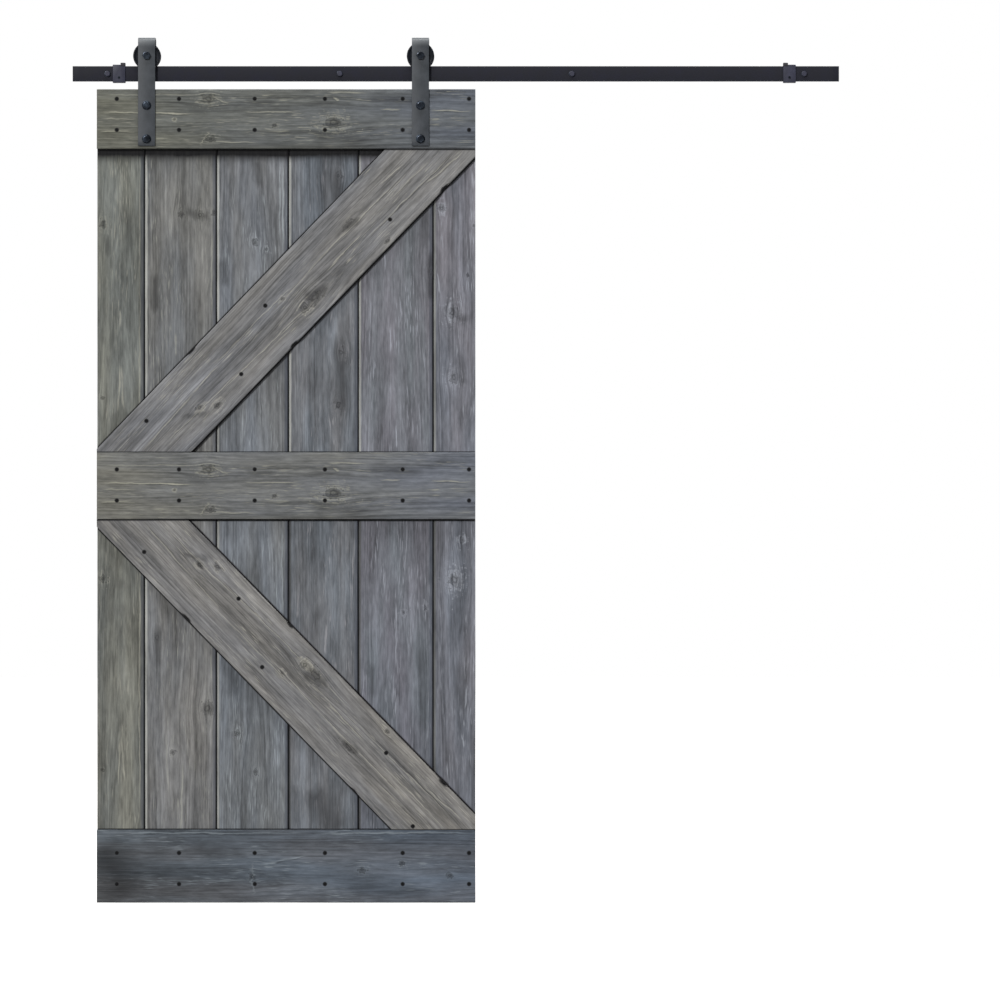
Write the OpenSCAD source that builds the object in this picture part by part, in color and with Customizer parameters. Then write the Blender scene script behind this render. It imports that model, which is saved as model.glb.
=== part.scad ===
// Sliding barn door on a wall-mounted flat track: a boarded door with three rails and two
// slanting braces hangs from two strap hangers whose grooved wheels roll on the track.
// X runs along the track, Y into the wall, Z up. The wall's face is Y = 0 and the centreline
// of the track, where its wall screws go, is Z = 0.

/* [Track] */
// Length of the flat track bar
track_length = 2012; // [1900:1:2600]
// Height of the track bar
track_height = 40; // [34:1:60]
// Thickness of the track bar
track_thickness = 6; // [5:0.5:8]
// Length of the spacers that hold the bar off the wall
wall_gap = 35; // [34:1:60]
// Outside diameter of the spacers
spacer_diameter = 19; // [14:0.5:20]
// Distance between two neighbouring wall screws
screw_spacing = 609.6; // [500:0.1:620]
// Shank diameter of the wall screws, inside the bar and the spacers
screw_shank = 7.6; // [5:0.1:9]
// Thread diameter of the wall screws, past the wall's face
screw_thread = 8; // [6:0.1:10]
// Length of thread past the wall's face
screw_reach = 48; // [30:1:80]

/* [Stops] */
// Distance from the track's centre to the left stop's inner face
stop_left_reach = 867.5; // [855:0.5:880]
// Distance from the track's centre to the right stop's inner face
stop_right_reach = 859.5; // [200:0.5:880]
// Width of a stop's collar along the track
stop_width = 33; // [25:1:36]
// Wall of a stop's collar
stop_wall = 3.5; // [2.5:0.1:5]
// Width of the rubber bumper along the track
bumper_width = 12.5; // [8:0.5:18]
// Height of the rubber bumper above the bar
bumper_rise = 8.8; // [6:0.1:12]
// Diameter of a stop's set screw
set_screw_diameter = 6; // [4:0.5:8]
// How far the set screw sits below the bar's centreline
set_screw_drop = 10; // [6:0.5:12]

/* [Wheels] */
// Diameter at the bottom of the wheel's groove
groove_diameter = 52; // [44:1:56]
// Width of the groove at its bottom, wider than the bar
groove_play = 2; // [1:0.1:3]
// Width of the wheel
wheel_width = 24; // [18:1:26]
// Slope of the groove's walls, as extra width at the rim on each side
groove_flare = 1.2; // [0:0.1:2]
// Running gap between the groove and the bar's upper edge
track_clearance = 0.3; // [0.2:0.1:0.5]
// Gap between the flanges and the spacers and washers that they pass over
flange_clearance = 0.8; // [0.4:0.1:3]

/* [Bearings] */
// Outside diameter of the ball bearing
bearing_diameter = 32; // [28:1:36]
// Width of the ball bearing
bearing_width = 10; // [8:0.5:12]
// Diameter of the bearing's balls
ball_diameter = 4.8; // [4:0.1:6]
// Number of balls
ball_count = 9; // [7:1:10]
// Outside diameter of the bushes that centre the bearing between the strap's legs
bush_diameter = 17; // [15:0.5:19]

/* [Hangers] */
// Width of the strap
strap_width = 45; // [35:1:60]
// Thickness of the strap
strap_thickness = 5; // [4:0.5:6]
// Side gap between the wheel and each leg of the strap
strap_side_gap = 1.5; // [1:0.1:3]
// Gap between the wheel's rim and the strap's top
strap_top_gap = 6.7; // [5:0.1:12]
// Inside radius of the strap's two bends
bend_radius = 6; // [4:0.5:9]
// Length of the strap's short rear leg below the axle
strap_return = 22; // [18:0.5:26]
// Distance from the lower bolt's centre to the strap's lower end
strap_end = 18; // [14:0.5:24]
// Distance from the door's left edge to the middle of the left hanger
hanger_inset_left = 131; // [60:1:200]
// Distance from the door's right edge to the middle of the right hanger
hanger_inset_right = 144; // [60:1:200]
// Diameter of the axle
axle_diameter = 12; // [10:0.5:14]
// Diameter of the bolts that fasten a strap to the door
strap_bolt = 10; // [8:0.5:12]
// Distance from the door's top edge to the upper bolt
strap_bolt_drop = 43; // [25:1:60]
// Distance between the two bolts of a strap
strap_bolt_pitch = 88; // [50:1:100]

/* [Door] */
// Width of the door
door_width = 993; // [800:1:1200]
// Height of the door
door_height = 2134; // [1800:1:2600]
// Distance from the track's centre to the door's left edge, with the door where it is drawn
door_start = 941.6; // [900:0.1:960]
// Gap between the track's lower edge and the door's top
door_gap = 21.3; // [12:0.1:30]
// Thickness of the vertical planks
plank_thickness = 20; // [16:1:25]
// Thickness of the rails and braces
board_thickness = 15; // [12:1:20]
// Length of the tongue on a plank's right edge
tongue_length = 8; // [5:0.5:10]
// Thickness of the tongue
tongue_thickness = 6; // [4:0.5:8]
// Gap between the faces of two neighbouring planks
plank_gap = 0.4; // [0.2:0.1:1]
// Depth of the bevel along the front edges of each joint
v_joint = 3; // [1:0.5:4]

/* [Rails and braces] */
// Height of the top rail
top_rail_height = 156; // [156:1:200]
// Height of the middle rail
mid_rail_height = 175.5; // [150:0.5:200]
// Height of the bottom rail
bottom_rail_height = 191; // [150:1:220]
// Distance from the door's top edge to the middle rail's upper edge
mid_rail_drop = 952.5; // [800:0.5:1100]
// Width of a brace
brace_width = 184; // [140:1:200]
// Bevel along the front edges of rails and braces
board_bevel = 1.2; // [0.5:0.1:3]

/* [Wood screws] */
// Length of the wood screws, from the board's face
wood_screw_length = 30; // [25:1:33]
// Head diameter of the wood screws
wood_screw_head = 8; // [6:0.1:9]
// Shank diameter of the wood screws
wood_screw_shank = 3.5; // [3:0.1:4.5]
// How far a head is sunk below the board's face
wood_screw_sink = 0.4; // [0:0.1:1]
// Distance from a rail's lower edge to its lower row of screws
screw_row_edge = 49; // [30:1:70]
// Distance between a rail's two rows of screws
screw_row_pitch = 81.5; // [50:0.5:90]

/* [Hidden] */
$fn = 96;

// Widths of the planks from left to right, as parts of the door's width
PLANK_WIDTHS = [125, 189, 189, 183.5, 196.5, 110];
// Where the column of rail screws crosses each plank, as a share of the plank's width
SCREW_COLUMNS = [0.42, 0.48, 0.53, 0.52, 0.59, 0.85];
// Where each brace starts and ends: gaps from its panel's corners, at the left and at the right
BRACE_GAPS_UPPER = [9, 21];
BRACE_GAPS_LOWER = [20, 39];
// Screws in a brace: [share of the way across its panel, distance in from its outer edge]
BRACE_SCREWS_UPPER = [[0.093, 43], [0.249, 137], [0.477, 58], [0.764, 137]];
BRACE_SCREWS_LOWER = [[0.083, 43], [0.237, 135], [0.463, 54], [0.746, 130], [0.988, 46]];

// Clearances
FIT = 0.05;
PLAY = 0.25;
SLOT_PLAY = 0.15;
PAST = 1;

// Fasteners: [across flats, head height, washer diameter, washer thickness]
WALL_HEX = [13, 5.3, 16, 1.6];
STRAP_HEX = [17, 6.4, 24, 2];
AXLE_HEX = [19, 7.5, 24, 1.5];
STRAP_NUT_HEIGHT = 5;
AXLE_NUT_HEIGHT = 7;
THREAD_SHOWING = 1.5;
SCREW_TIP = 9;
FACE_RING_DEPTH = 1.2;
HEAD_CHAMFER = 0.35;

// Depths along Y
bar_back = -wall_gap;
bar_front = bar_back - track_thickness;
bar_middle = bar_back - track_thickness / 2;
strap_gap = wheel_width + 2 * strap_side_gap;
strap_back = bar_middle - strap_gap / 2;
strap_front = strap_back - strap_thickness;
return_front = bar_middle + strap_gap / 2;
return_back = return_front + strap_thickness;
door_front = strap_back;
plank_front = door_front + board_thickness;
door_back = plank_front + plank_thickness;

// Heights along Z
axle_z = track_height / 2 + track_clearance + groove_diameter / 2;
flange_r = axle_z - max(spacer_diameter, WALL_HEX[2]) / 2 - flange_clearance;
strap_top = axle_z + flange_r + strap_top_gap + strap_thickness;
door_top = -track_height / 2 - door_gap;
door_bottom = door_top - door_height;
mid_rail_top = door_top - mid_rail_drop;
mid_rail_bottom = mid_rail_top - mid_rail_height;
upper_panel_top = door_top - top_rail_height;
lower_panel_bottom = door_bottom + bottom_rail_height;

// Places along X
door_left = -door_start;
door_right = door_left + door_width;
hanger_x = [door_left + hanger_inset_left, door_right - hanger_inset_right];
wall_screw_x = [for (i = [-1.5:1:1.5]) i * screw_spacing];
strap_bolt_z = [for (i = [0, 1]) door_top - strap_bolt_drop - i * strap_bolt_pitch];

function sum_to(values, count) = count == 0 ? 0 : values[count - 1] + sum_to(values, count - 1);
plank_total = sum_to(PLANK_WIDTHS, len(PLANK_WIDTHS));
function joint_x(i) = door_left + door_width * sum_to(PLANK_WIDTHS, i) / plank_total;
column_x = [for (i = [0:5]) joint_x(i) + SCREW_COLUMNS[i] * (joint_x(i + 1) - joint_x(i))];

// A rail's screws, as [x, z], from the height of its lower edge
function rail_screws(lower_edge) =
    [for (row = [0, 1], x = column_x) [x, lower_edge + screw_row_edge + row * screw_row_pitch]];

// A brace's slope: its outer edge starts above one corner of its panel, by the first gap, and
// its inner edge ends below the opposite corner, by the second
function brace_diagonal(height, gaps) = norm([door_width, height - gaps[0] - gaps[1]]);
function brace_slope(height, gaps) =
    atan2(height - gaps[0] - gaps[1], door_width) + asin(brace_width / brace_diagonal(height, gaps));

// A screw's place on a brace, as [distance from the door's edge, distance from the middle rail]
function on_brace(share, inset, height, gaps) =
    let (slope = brace_slope(height, gaps), rise = share * (height - gaps[0]),
        along = (rise + inset * cos(slope)) / sin(slope))
    [along * cos(slope) + inset * sin(slope), gaps[0] + rise];

upper_height = upper_panel_top - mid_rail_top;
lower_height = mid_rail_bottom - lower_panel_bottom;
upper_brace_screws =
    [for (s = BRACE_SCREWS_UPPER) let (p = on_brace(s[0], s[1], upper_height, BRACE_GAPS_UPPER))
        [door_left + p[0], mid_rail_top + p[1]]];
lower_brace_screws =
    [for (s = BRACE_SCREWS_LOWER) let (p = on_brace(s[0], s[1], lower_height, BRACE_GAPS_LOWER))
        [door_left + p[0], mid_rail_bottom - p[1]]];
top_rail_screws = rail_screws(upper_panel_top);
mid_rail_screws = rail_screws(mid_rail_bottom);
bottom_rail_screws = rail_screws(door_bottom);
all_wood_screws = concat(top_rail_screws, mid_rail_screws, bottom_rail_screws,
    upper_brace_screws, lower_brace_screws);

SIDES = ["left", "right"];

// ---- Shared shapes ----

// Turns a shape that is drawn along +Z so that it runs into the wall, from the depth y
module into_wall(x, y, z) {
    translate([x, y, z]) rotate([-90, 0, 0]) children();
}

// A round bar into the wall
module rod(diameter, x, y1, y2, z) {
    into_wall(x, y1, z) cylinder(d = diameter, h = y2 - y1);
}

// A round tube into the wall
module tube(outside, inside, x, y1, y2, z) {
    difference() {
        rod(outside, x, y1, y2, z);
        rod(inside, x, y1 - PAST, y2 + PAST, z);
    }
}

// A hexagon with its corners to the left and right, bevelled at its front end, along +Z
module hex_head(flats, height) {
    across = flats / cos(30);
    intersection() {
        cylinder(d = across, h = height, $fn = 6);
        cylinder(d1 = across - HEAD_CHAMFER * height, d2 = across + 2 * height, h = height);
    }
}

// A hex bolt whose head stands on the depth y, its end chamfered
module hex_bolt(hex, diameter, x, y, end, z) {
    into_wall(x, y - hex[1], z) {
        hex_head(hex[0], hex[1]);
        cylinder(d = diameter, h = end - y + hex[1] - 1);
        translate([0, 0, end - y + hex[1] - 1]) cylinder(d1 = diameter, d2 = diameter - 2, h = 1);
    }
}

// A hex nut from the depth y on, bevelled on the side away from the work
module hex_nut(flats, height, bore, x, y, z) {
    difference() {
        translate([x, y + height, z]) rotate([90, 0, 0]) hex_head(flats, height);
        rod(bore, x, y - PAST, y + height + PAST, z);
    }
}

// ---- Track ----

module track_bar() {
    color("#26242c") difference() {
        translate([-track_length / 2, bar_front, -track_height / 2])
            cube([track_length, track_thickness, track_height]);
        for (x = wall_screw_x) rod(screw_thread + 1, x, bar_front - PAST, bar_back + PAST, 0);
    }
}

module wall_spacers() {
    color("#26242c") for (x = wall_screw_x) tube(spacer_diameter, screw_thread + 1, x, bar_back, 0, 0);
}

// Shank up to the wall's face, then thread, then a point
module wall_screws() {
    head = bar_front - WALL_HEX[3];
    color("#30303a") for (x = wall_screw_x) {
        into_wall(x, head - WALL_HEX[1], 0) hex_head(WALL_HEX[0], WALL_HEX[1]);
        rod(screw_shank, x, head - WALL_HEX[1] / 2, PAST, 0);
        rod(screw_thread, x, 0, screw_reach, 0);
        into_wall(x, screw_reach, 0) cylinder(d1 = screw_thread, d2 = 0.6, h = SCREW_TIP);
    }
}

module wall_washers() {
    color("#30303a") for (x = wall_screw_x)
        tube(WALL_HEX[2], screw_shank + 0.8, x, bar_front - WALL_HEX[3], bar_front, 0);
}

// ---- Stops ----

// Calls its children for a stop whose inner face is x = 0 and whose body runs to -x
module at_stop(side) {
    if (side == "left") translate([-stop_left_reach, 0, 0]) children();
    else translate([stop_right_reach, 0, 0]) mirror([1, 0, 0]) children();
}

collar_depth = track_thickness + 2 * (SLOT_PLAY + stop_wall);
collar_height = track_height + 2 * (SLOT_PLAY + stop_wall);

// A box on the bar, from its middle, growing both ways in Y
module around_bar(x1, x2, depth, z1, z2) {
    translate([x1, bar_middle - depth / 2, z1]) cube([x2 - x1, depth, z2 - z1]);
}

module stop(side) {
    slot = track_height / 2 + SLOT_PLAY;
    color("#3c3c46") at_stop(side) difference() {
        around_bar(-stop_width, 0, collar_depth, -collar_height / 2, collar_height / 2);
        around_bar(-stop_width - PAST, PAST, track_thickness + 2 * SLOT_PLAY, -slot, slot);
        around_bar(-bumper_width, PAST, collar_depth + PAST, slot - PAST / 2, slot + stop_wall + PAST);
        rod(set_screw_diameter + 2 * FIT, -stop_width / 2, bar_front - collar_depth, bar_front + FIT,
            -set_screw_drop);
    }
}

// The bumper stands in the collar's notch, on the bar's upper edge
module stop_bumper(side) {
    color("#2b2a30") at_stop(side)
        around_bar(-bumper_width + FIT, 0, collar_depth, track_height / 2 + SLOT_PLAY,
            track_height / 2 + bumper_rise);
}

// A grub screw pressed on the bar, with a hexagon socket
module stop_set_screw(side) {
    socket = set_screw_diameter / 2;
    length = stop_wall + SLOT_PLAY + 1.2;
    color("#24242b") at_stop(side) into_wall(-stop_width / 2, bar_front - length, -set_screw_drop)
        difference() {
            cylinder(d = set_screw_diameter, h = length);
            translate([0, 0, -PAST]) cylinder(d = socket, h = length / 2 + PAST, $fn = 6);
        }
}

// ---- Door boards ----

// A wood screw's outline turned about its axis, grown by a gap: head cone, shank and point
module wood_screw_shape(gap) {
    head = wood_screw_head / 2 + gap;
    shank = wood_screw_shank / 2 + gap;
    cone = (wood_screw_head - wood_screw_shank) / 2;
    tip = wood_screw_length - 3;
    rotate_extrude() polygon([
        [0, wood_screw_sink], [head, wood_screw_sink], [shank, wood_screw_sink + cone],
        [shank, tip], [0.3 + gap, wood_screw_length + gap], [0, wood_screw_length + gap]]);
}

// The holes that the wood screws need in the boards between x1 and x2
module wood_screw_holes(screws, x1, x2) {
    reach = wood_screw_head;
    for (s = screws) if (s[0] > x1 - reach && s[0] < x2 + reach) into_wall(s[0], door_front, s[1]) {
        wood_screw_shape(FIT);
        translate([0, 0, -PAST]) cylinder(d = wood_screw_head + 2 * FIT, h = wood_screw_sink + PAST);
    }
}

module wood_screws(screws) {
    slot = [wood_screw_head * 0.6, wood_screw_head * 0.14, wood_screw_shank * 0.4];
    color("#17171b") for (s = screws) into_wall(s[0], door_front, s[1]) difference() {
        wood_screw_shape(0);
        for (turn = [0, 90]) rotate(turn) translate([-slot[0] / 2, -slot[1] / 2, wood_screw_sink - PAST])
            cube(slot + [0, 0, PAST]);
    }
}

// The holes for the strap bolts, right through the door
module strap_bolt_holes(x1, x2) {
    for (x = hanger_x, z = strap_bolt_z) if (x > x1 - strap_bolt && x < x2 + strap_bolt)
        rod(strap_bolt + 2 * PLAY, x, door_front - PAST, door_back + PAST, z);
}

// A plank's section, with its groove on the left and its tongue on the right
module plank_section(x1, x2, groove, tongue) {
    middle = (plank_front + door_back) / 2;
    half = tongue_thickness / 2;
    open = half + SLOT_PLAY;
    depth = tongue_length + 1;
    polygon(concat(
        groove
            ? [[x1, door_back], [x1, middle + open], [x1 + depth, middle + open],
                [x1 + depth, middle - open], [x1, middle - open], [x1, plank_front + v_joint],
                [x1 + v_joint, plank_front]]
            : [[x1, door_back], [x1, plank_front]],
        tongue
            ? [[x2 - v_joint, plank_front], [x2, plank_front + v_joint], [x2, middle - half],
                [x2 + tongue_length, middle - half], [x2 + tongue_length, middle + half],
                [x2, middle + half], [x2, door_back]]
            : [[x2, plank_front], [x2, door_back]]));
}

module plank(i) {
    last = len(PLANK_WIDTHS);
    x1 = joint_x(i - 1) + (i > 1 ? plank_gap / 2 : 0);
    x2 = joint_x(i) - (i < last ? plank_gap / 2 : 0);
    tones = ["#77746c", "#76736a", "#60666a", "#4f5a60", "#6a6870", "#606a70"];
    color(tones[i - 1]) difference() {
        translate([0, 0, door_bottom]) linear_extrude(door_height)
            plank_section(x1, x2, i > 1, i < last);
        wood_screw_holes(all_wood_screws, x1, x2 + (i < last ? tongue_length : 0));
        strap_bolt_holes(x1, x2 + (i < last ? tongue_length : 0));
    }
}

// A board on the planks' faces, along +X from x = 0, its front edges bevelled
module board(length, height) {
    b = board_bevel;
    t = board_thickness;
    rotate([90, 0, 90]) linear_extrude(length)
        polygon([[t, 0], [t, height], [b, height], [0, height - b], [0, b], [b, 0]]);
}

module rail(lower_edge, height, screws) {
    difference() {
        translate([door_left, door_front, lower_edge]) board(door_width, height);
        wood_screw_holes(screws, door_left, door_right);
    }
}

module top_rail() {
    color("#5f6363") difference() {
        rail(upper_panel_top, top_rail_height, top_rail_screws);
        strap_bolt_holes(door_left, door_right);
    }
}

module mid_rail() {
    color("#5f6363") rail(mid_rail_bottom, mid_rail_height, mid_rail_screws);
}

module bottom_rail() {
    color("#50585d") rail(door_bottom, bottom_rail_height, bottom_rail_screws);
}

// A brace that starts at a panel's lower left corner, cut to the panel
module brace(height, gaps) {
    over = 2 * brace_width;
    length = brace_diagonal(height, gaps) + 2 * over;
    intersection() {
        translate([0, 0, gaps[0]]) rotate([0, -brace_slope(height, gaps), 0])
            translate([-over, 0, -brace_width]) board(length, brace_width);
        translate([0, -PAST, 0]) cube([door_width, board_thickness + PAST, height]);
    }
}

module brace_upper() {
    color("#7d7970") difference() {
        translate([door_left, door_front, mid_rail_top]) brace(upper_height, BRACE_GAPS_UPPER);
        wood_screw_holes(upper_brace_screws, door_left, door_right);
        strap_bolt_holes(door_left, door_right);
    }
}

module brace_lower() {
    color("#7d7970") difference() {
        translate([door_left, door_front, mid_rail_bottom]) mirror([0, 0, 1])
            brace(lower_height, BRACE_GAPS_LOWER);
        wood_screw_holes(lower_brace_screws, door_left, door_right);
    }
}

// ---- Hangers: the index is 0 for the left one and 1 for the right one ----

// A quarter of a bend, from its centre line, with its outside towards +y and +z
module bend(y, z, turned) {
    translate([-strap_width / 2, y, z]) rotate([turned, 0, 0]) rotate([90, 0, 90])
        quarter_ring();
}

// A quarter ring in the first quadrant, as deep as the strap is wide
module quarter_ring() {
    rotate_extrude(angle = 90) translate([bend_radius, 0]) square([strap_thickness, strap_width]);
}

module hanger_strap(i) {
    outside = bend_radius + strap_thickness;
    bend_z = strap_top - outside;
    lower_end = strap_bolt_z[1] - strap_end;
    return_end = axle_z - strap_return;
    color("#50525a") translate([hanger_x[i], 0, 0]) difference() {
        union() {
            translate([-strap_width / 2, strap_front, lower_end])
                cube([strap_width, strap_thickness, bend_z - lower_end]);
            bend(strap_front + outside, bend_z, 90);
            translate([-strap_width / 2, strap_front + outside, strap_top - strap_thickness])
                cube([strap_width, strap_gap - 2 * bend_radius, strap_thickness]);
            bend(return_back - outside, bend_z, 0);
            translate([-strap_width / 2, return_front, return_end])
                cube([strap_width, strap_thickness, bend_z - return_end]);
        }
        rod(axle_diameter + 2 * PLAY, 0, strap_front - PAST, return_back + PAST, axle_z);
        for (z = strap_bolt_z) rod(strap_bolt + 2 * PLAY, 0, strap_front - PAST, strap_back + PAST, z);
    }
}

module strap_bolts(i) {
    end = door_back + STRAP_HEX[3] + STRAP_NUT_HEIGHT + THREAD_SHOWING;
    color("#1c1d24") for (z = strap_bolt_z)
        hex_bolt(STRAP_HEX, strap_bolt, hanger_x[i], strap_front - STRAP_HEX[3], end, z);
}

// One washer under each head and one under each nut
module strap_washers(i) {
    thick = STRAP_HEX[3];
    color("#1c1d24") for (z = strap_bolt_z, y = [strap_front - thick, door_back])
        tube(STRAP_HEX[2], strap_bolt + 2 * PLAY, hanger_x[i], y, y + thick, z);
}

module strap_nuts(i) {
    color("#1c1d24") for (z = strap_bolt_z)
        hex_nut(STRAP_HEX[0], STRAP_NUT_HEIGHT, strap_bolt + 2 * FIT, hanger_x[i],
            door_back + STRAP_HEX[3], z);
}

module axle_bolt(i) {
    end = return_back + AXLE_HEX[3] + AXLE_NUT_HEIGHT + THREAD_SHOWING;
    color("#1c1d24") hex_bolt(AXLE_HEX, axle_diameter, hanger_x[i], strap_front, end, axle_z);
}

module axle_washer(i) {
    color("#1c1d24") tube(AXLE_HEX[2], axle_diameter + 2 * PLAY, hanger_x[i], return_back,
        return_back + AXLE_HEX[3], axle_z);
}

module axle_nut(i) {
    color("#1c1d24") hex_nut(AXLE_HEX[0], AXLE_NUT_HEIGHT, axle_diameter + 2 * FIT, hanger_x[i],
        return_back + AXLE_HEX[3], axle_z);
}

// A bush on each side of the bearing, out to the strap's legs
module axle_bushes(i) {
    half = bearing_width / 2;
    bore = axle_diameter + 2 * FIT;
    color("#8a8c90") {
        tube(bush_diameter, bore, hanger_x[i], strap_back, bar_middle - half, axle_z);
        tube(bush_diameter, bore, hanger_x[i], bar_middle + half, return_front, axle_z);
    }
}

// ---- Wheels and their bearings ----

// Turns an outline drawn as [radius, distance behind the wheel's middle] about the axle
module about_axle(i) {
    into_wall(hanger_x[i], bar_middle, axle_z) rotate_extrude() children();
}

bearing_r = bearing_diameter / 2;
pitch_r = (bearing_r + axle_diameter / 2) / 2;
race_r = ball_diameter / 2 + FIT;
race_wall = ball_diameter * 0.3;

// Flanges, groove, a shallow ring turned in each face between hub and rim, a pocket for the
// bearing that is open at the back, and a lip that holds it in front
module wheel(i) {
    half = wheel_width / 2;
    bottom = (track_thickness + groove_play) / 2;
    rim = bottom + groove_flare;
    groove_r = groove_diameter / 2;
    pocket_r = bearing_r + FIT / 2;
    lip_r = bearing_r - 2.5;
    ring = [bearing_r + 3.5, flange_r - 5];
    floor_y = half - FACE_RING_DEPTH;
    edge = 1;
    color("#1b1f2b") about_axle(i) polygon([
        [lip_r, -half], [ring[0], -half], [ring[0] + 1, -floor_y], [ring[1] - 1, -floor_y],
        [ring[1], -half], [flange_r - edge, -half], [flange_r, -half + edge], [flange_r, -rim],
        [groove_r, -bottom], [groove_r, bottom], [flange_r, rim], [flange_r, half - edge],
        [flange_r - edge, half], [ring[1], half], [ring[1] - 1, floor_y], [ring[0] + 1, floor_y],
        [ring[0], half], [pocket_r, half], [pocket_r, -bearing_width / 2],
        [lip_r, -bearing_width / 2]]);
}

module bearing_outer_ring(i) {
    color("#a7a9ad") about_axle(i) difference() {
        translate([pitch_r + race_wall, -bearing_width / 2])
            square([bearing_r - pitch_r - race_wall, bearing_width]);
        translate([pitch_r, 0]) circle(r = race_r);
    }
}

module bearing_inner_ring(i) {
    inside = axle_diameter / 2 + FIT;
    color("#a7a9ad") about_axle(i) difference() {
        translate([inside, -bearing_width / 2]) square([pitch_r - race_wall - inside, bearing_width]);
        translate([pitch_r, 0]) circle(r = race_r);
    }
}

module bearing_balls(i) {
    color("#c4c6ca") for (n = [0:ball_count - 1])
        into_wall(hanger_x[i], bar_middle, axle_z) rotate(n * 360 / ball_count)
            translate([pitch_r, 0, 0]) sphere(d = ball_diameter);
}

// A band between the rings that keeps the balls apart, with a round pocket for each
module bearing_cage(i) {
    band = ball_diameter * 0.14;
    color("#8f8468") difference() {
        about_axle(i) translate([pitch_r - band, -ball_diameter * 0.6])
            square([2 * band, ball_diameter * 1.2]);
        into_wall(hanger_x[i], bar_middle, axle_z) for (n = [0:ball_count - 1])
            rotate(n * 360 / ball_count) translate([pitch_r - 2 * band, 0, 0]) rotate([0, 90, 0])
                cylinder(r = race_r, h = 4 * band);
    }
}

// Thin covers on both faces, held in the outer ring and clear of the inner one
module bearing_shields(i) {
    thick = 0.5;
    outer = pitch_r + race_wall - FIT;
    inner = pitch_r - race_wall + PLAY;
    color("#55575c") for (side = [-1, 1])
        translate([0, side * (bearing_width / 2 - 2 * thick), 0]) about_axle(i)
            translate([inner, -thick / 2]) square([outer - inner, thick]);
}

// ---- Assembly ----

track_bar();
wall_spacers();
wall_screws();
wall_washers();
for (s = SIDES) {
    stop(s);
    stop_bumper(s);
    stop_set_screw(s);
}
for (i = [1:len(PLANK_WIDTHS)]) plank(i);
top_rail();
mid_rail();
bottom_rail();
brace_upper();
brace_lower();
wood_screws(top_rail_screws);
wood_screws(mid_rail_screws);
wood_screws(bottom_rail_screws);
wood_screws(upper_brace_screws);  // brace_upper_screws
wood_screws(lower_brace_screws);  // brace_lower_screws
for (i = [0, 1]) {
    hanger_strap(i);
    strap_bolts(i);
    strap_washers(i);
    strap_nuts(i);
    axle_bolt(i);
    axle_washer(i);
    axle_nut(i);
    axle_bushes(i);
    wheel(i);
    bearing_outer_ring(i);
    bearing_inner_ring(i);
    bearing_balls(i);
    bearing_cage(i);
    bearing_shields(i);
}
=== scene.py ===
"""Looks of a sliding barn door with its flat track and hangers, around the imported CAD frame.

Lengths are in millimetres until a piece is settled; X runs along the track, Y into the wall, Z up.
"""
import math
from functools import partial

import bmesh
import bpy
import numpy as np
from mathutils import Euler, Matrix, Vector


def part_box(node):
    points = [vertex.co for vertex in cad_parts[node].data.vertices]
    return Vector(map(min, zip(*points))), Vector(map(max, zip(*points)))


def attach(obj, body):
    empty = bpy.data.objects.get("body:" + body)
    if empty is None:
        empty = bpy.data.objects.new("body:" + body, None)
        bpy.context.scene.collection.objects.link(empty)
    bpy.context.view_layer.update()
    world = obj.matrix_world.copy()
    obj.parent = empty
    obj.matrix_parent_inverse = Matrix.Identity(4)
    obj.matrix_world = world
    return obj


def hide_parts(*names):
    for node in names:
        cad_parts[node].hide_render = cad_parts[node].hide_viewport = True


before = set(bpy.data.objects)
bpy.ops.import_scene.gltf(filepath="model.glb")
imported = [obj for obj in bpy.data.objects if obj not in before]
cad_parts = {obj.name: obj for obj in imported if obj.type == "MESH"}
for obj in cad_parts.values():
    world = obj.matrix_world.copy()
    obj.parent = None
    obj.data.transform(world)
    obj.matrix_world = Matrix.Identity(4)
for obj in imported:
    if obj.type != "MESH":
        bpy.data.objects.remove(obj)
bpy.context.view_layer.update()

MM = 0.001
SIDES = ("left", "right")


# ---- Small helpers ----

# Kinds of node, some with their settings, and kinds of socket
SHADER, GEOMETRY = "ShaderNodeTree", "GeometryNodeTree"
NOISE, RANGE, MIX, RAMP = "ShaderNodeTexNoise", "ShaderNodeMapRange", "ShaderNodeMix", "ShaderNodeValToRGB"
SPLIT, JOIN = "ShaderNodeSeparateXYZ", "ShaderNodeCombineXYZ"
SMOOTH, BLEND = (RANGE, {"interpolation_type": "SMOOTHSTEP"}), (MIX, {"data_type": "RGBA"})
TIMES, PLUS, MINUS, OVER, TIMES_PLUS, ROOT, SIZE_OF, LOWEST, HIGHEST, SINE, COSINE, FRACTION, BELOW = (
    ("ShaderNodeMath", {"operation": name}) for name in (
        "MULTIPLY", "ADD", "SUBTRACT", "DIVIDE", "MULTIPLY_ADD", "SQRT", "ABSOLUTE", "MINIMUM", "MAXIMUM",
        "SINE", "COSINE", "FRACT", "LESS_THAN"))
V_TIMES, V_PLUS, V_MINUS, V_TIMES_PLUS, V_SCALE, V_DOT, V_DISTANCE = (
    ("ShaderNodeVectorMath", {"operation": name}) for name in (
        "MULTIPLY", "ADD", "SUBTRACT", "MULTIPLY_ADD", "SCALE", "DOT_PRODUCT", "DISTANCE"))
FLOAT, VEC, MESH = ("Float", None), ("Vector", None), {"Geometry": ("Geometry", None)}


def linear(code):
    """The linear colour of an sRGB hex value."""
    parts = [int(code[i:i + 2], 16) / 255 for i in (1, 3, 5)]
    return tuple(c / 12.92 if c <= 0.04045 else ((c + 0.055) / 1.055) ** 2.4 for c in parts) + (1.0,)


def plug(socket, value):
    """Sets or links an input; a node stands for its first live output, and None leaves the input alone."""
    if isinstance(value, bpy.types.Node):
        value = next(s for s in value.outputs if s.enabled)
    if isinstance(value, bpy.types.NodeSocket):
        socket.id_data.links.new(value, socket)
    elif value is not None:
        socket.default_value = value


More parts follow.
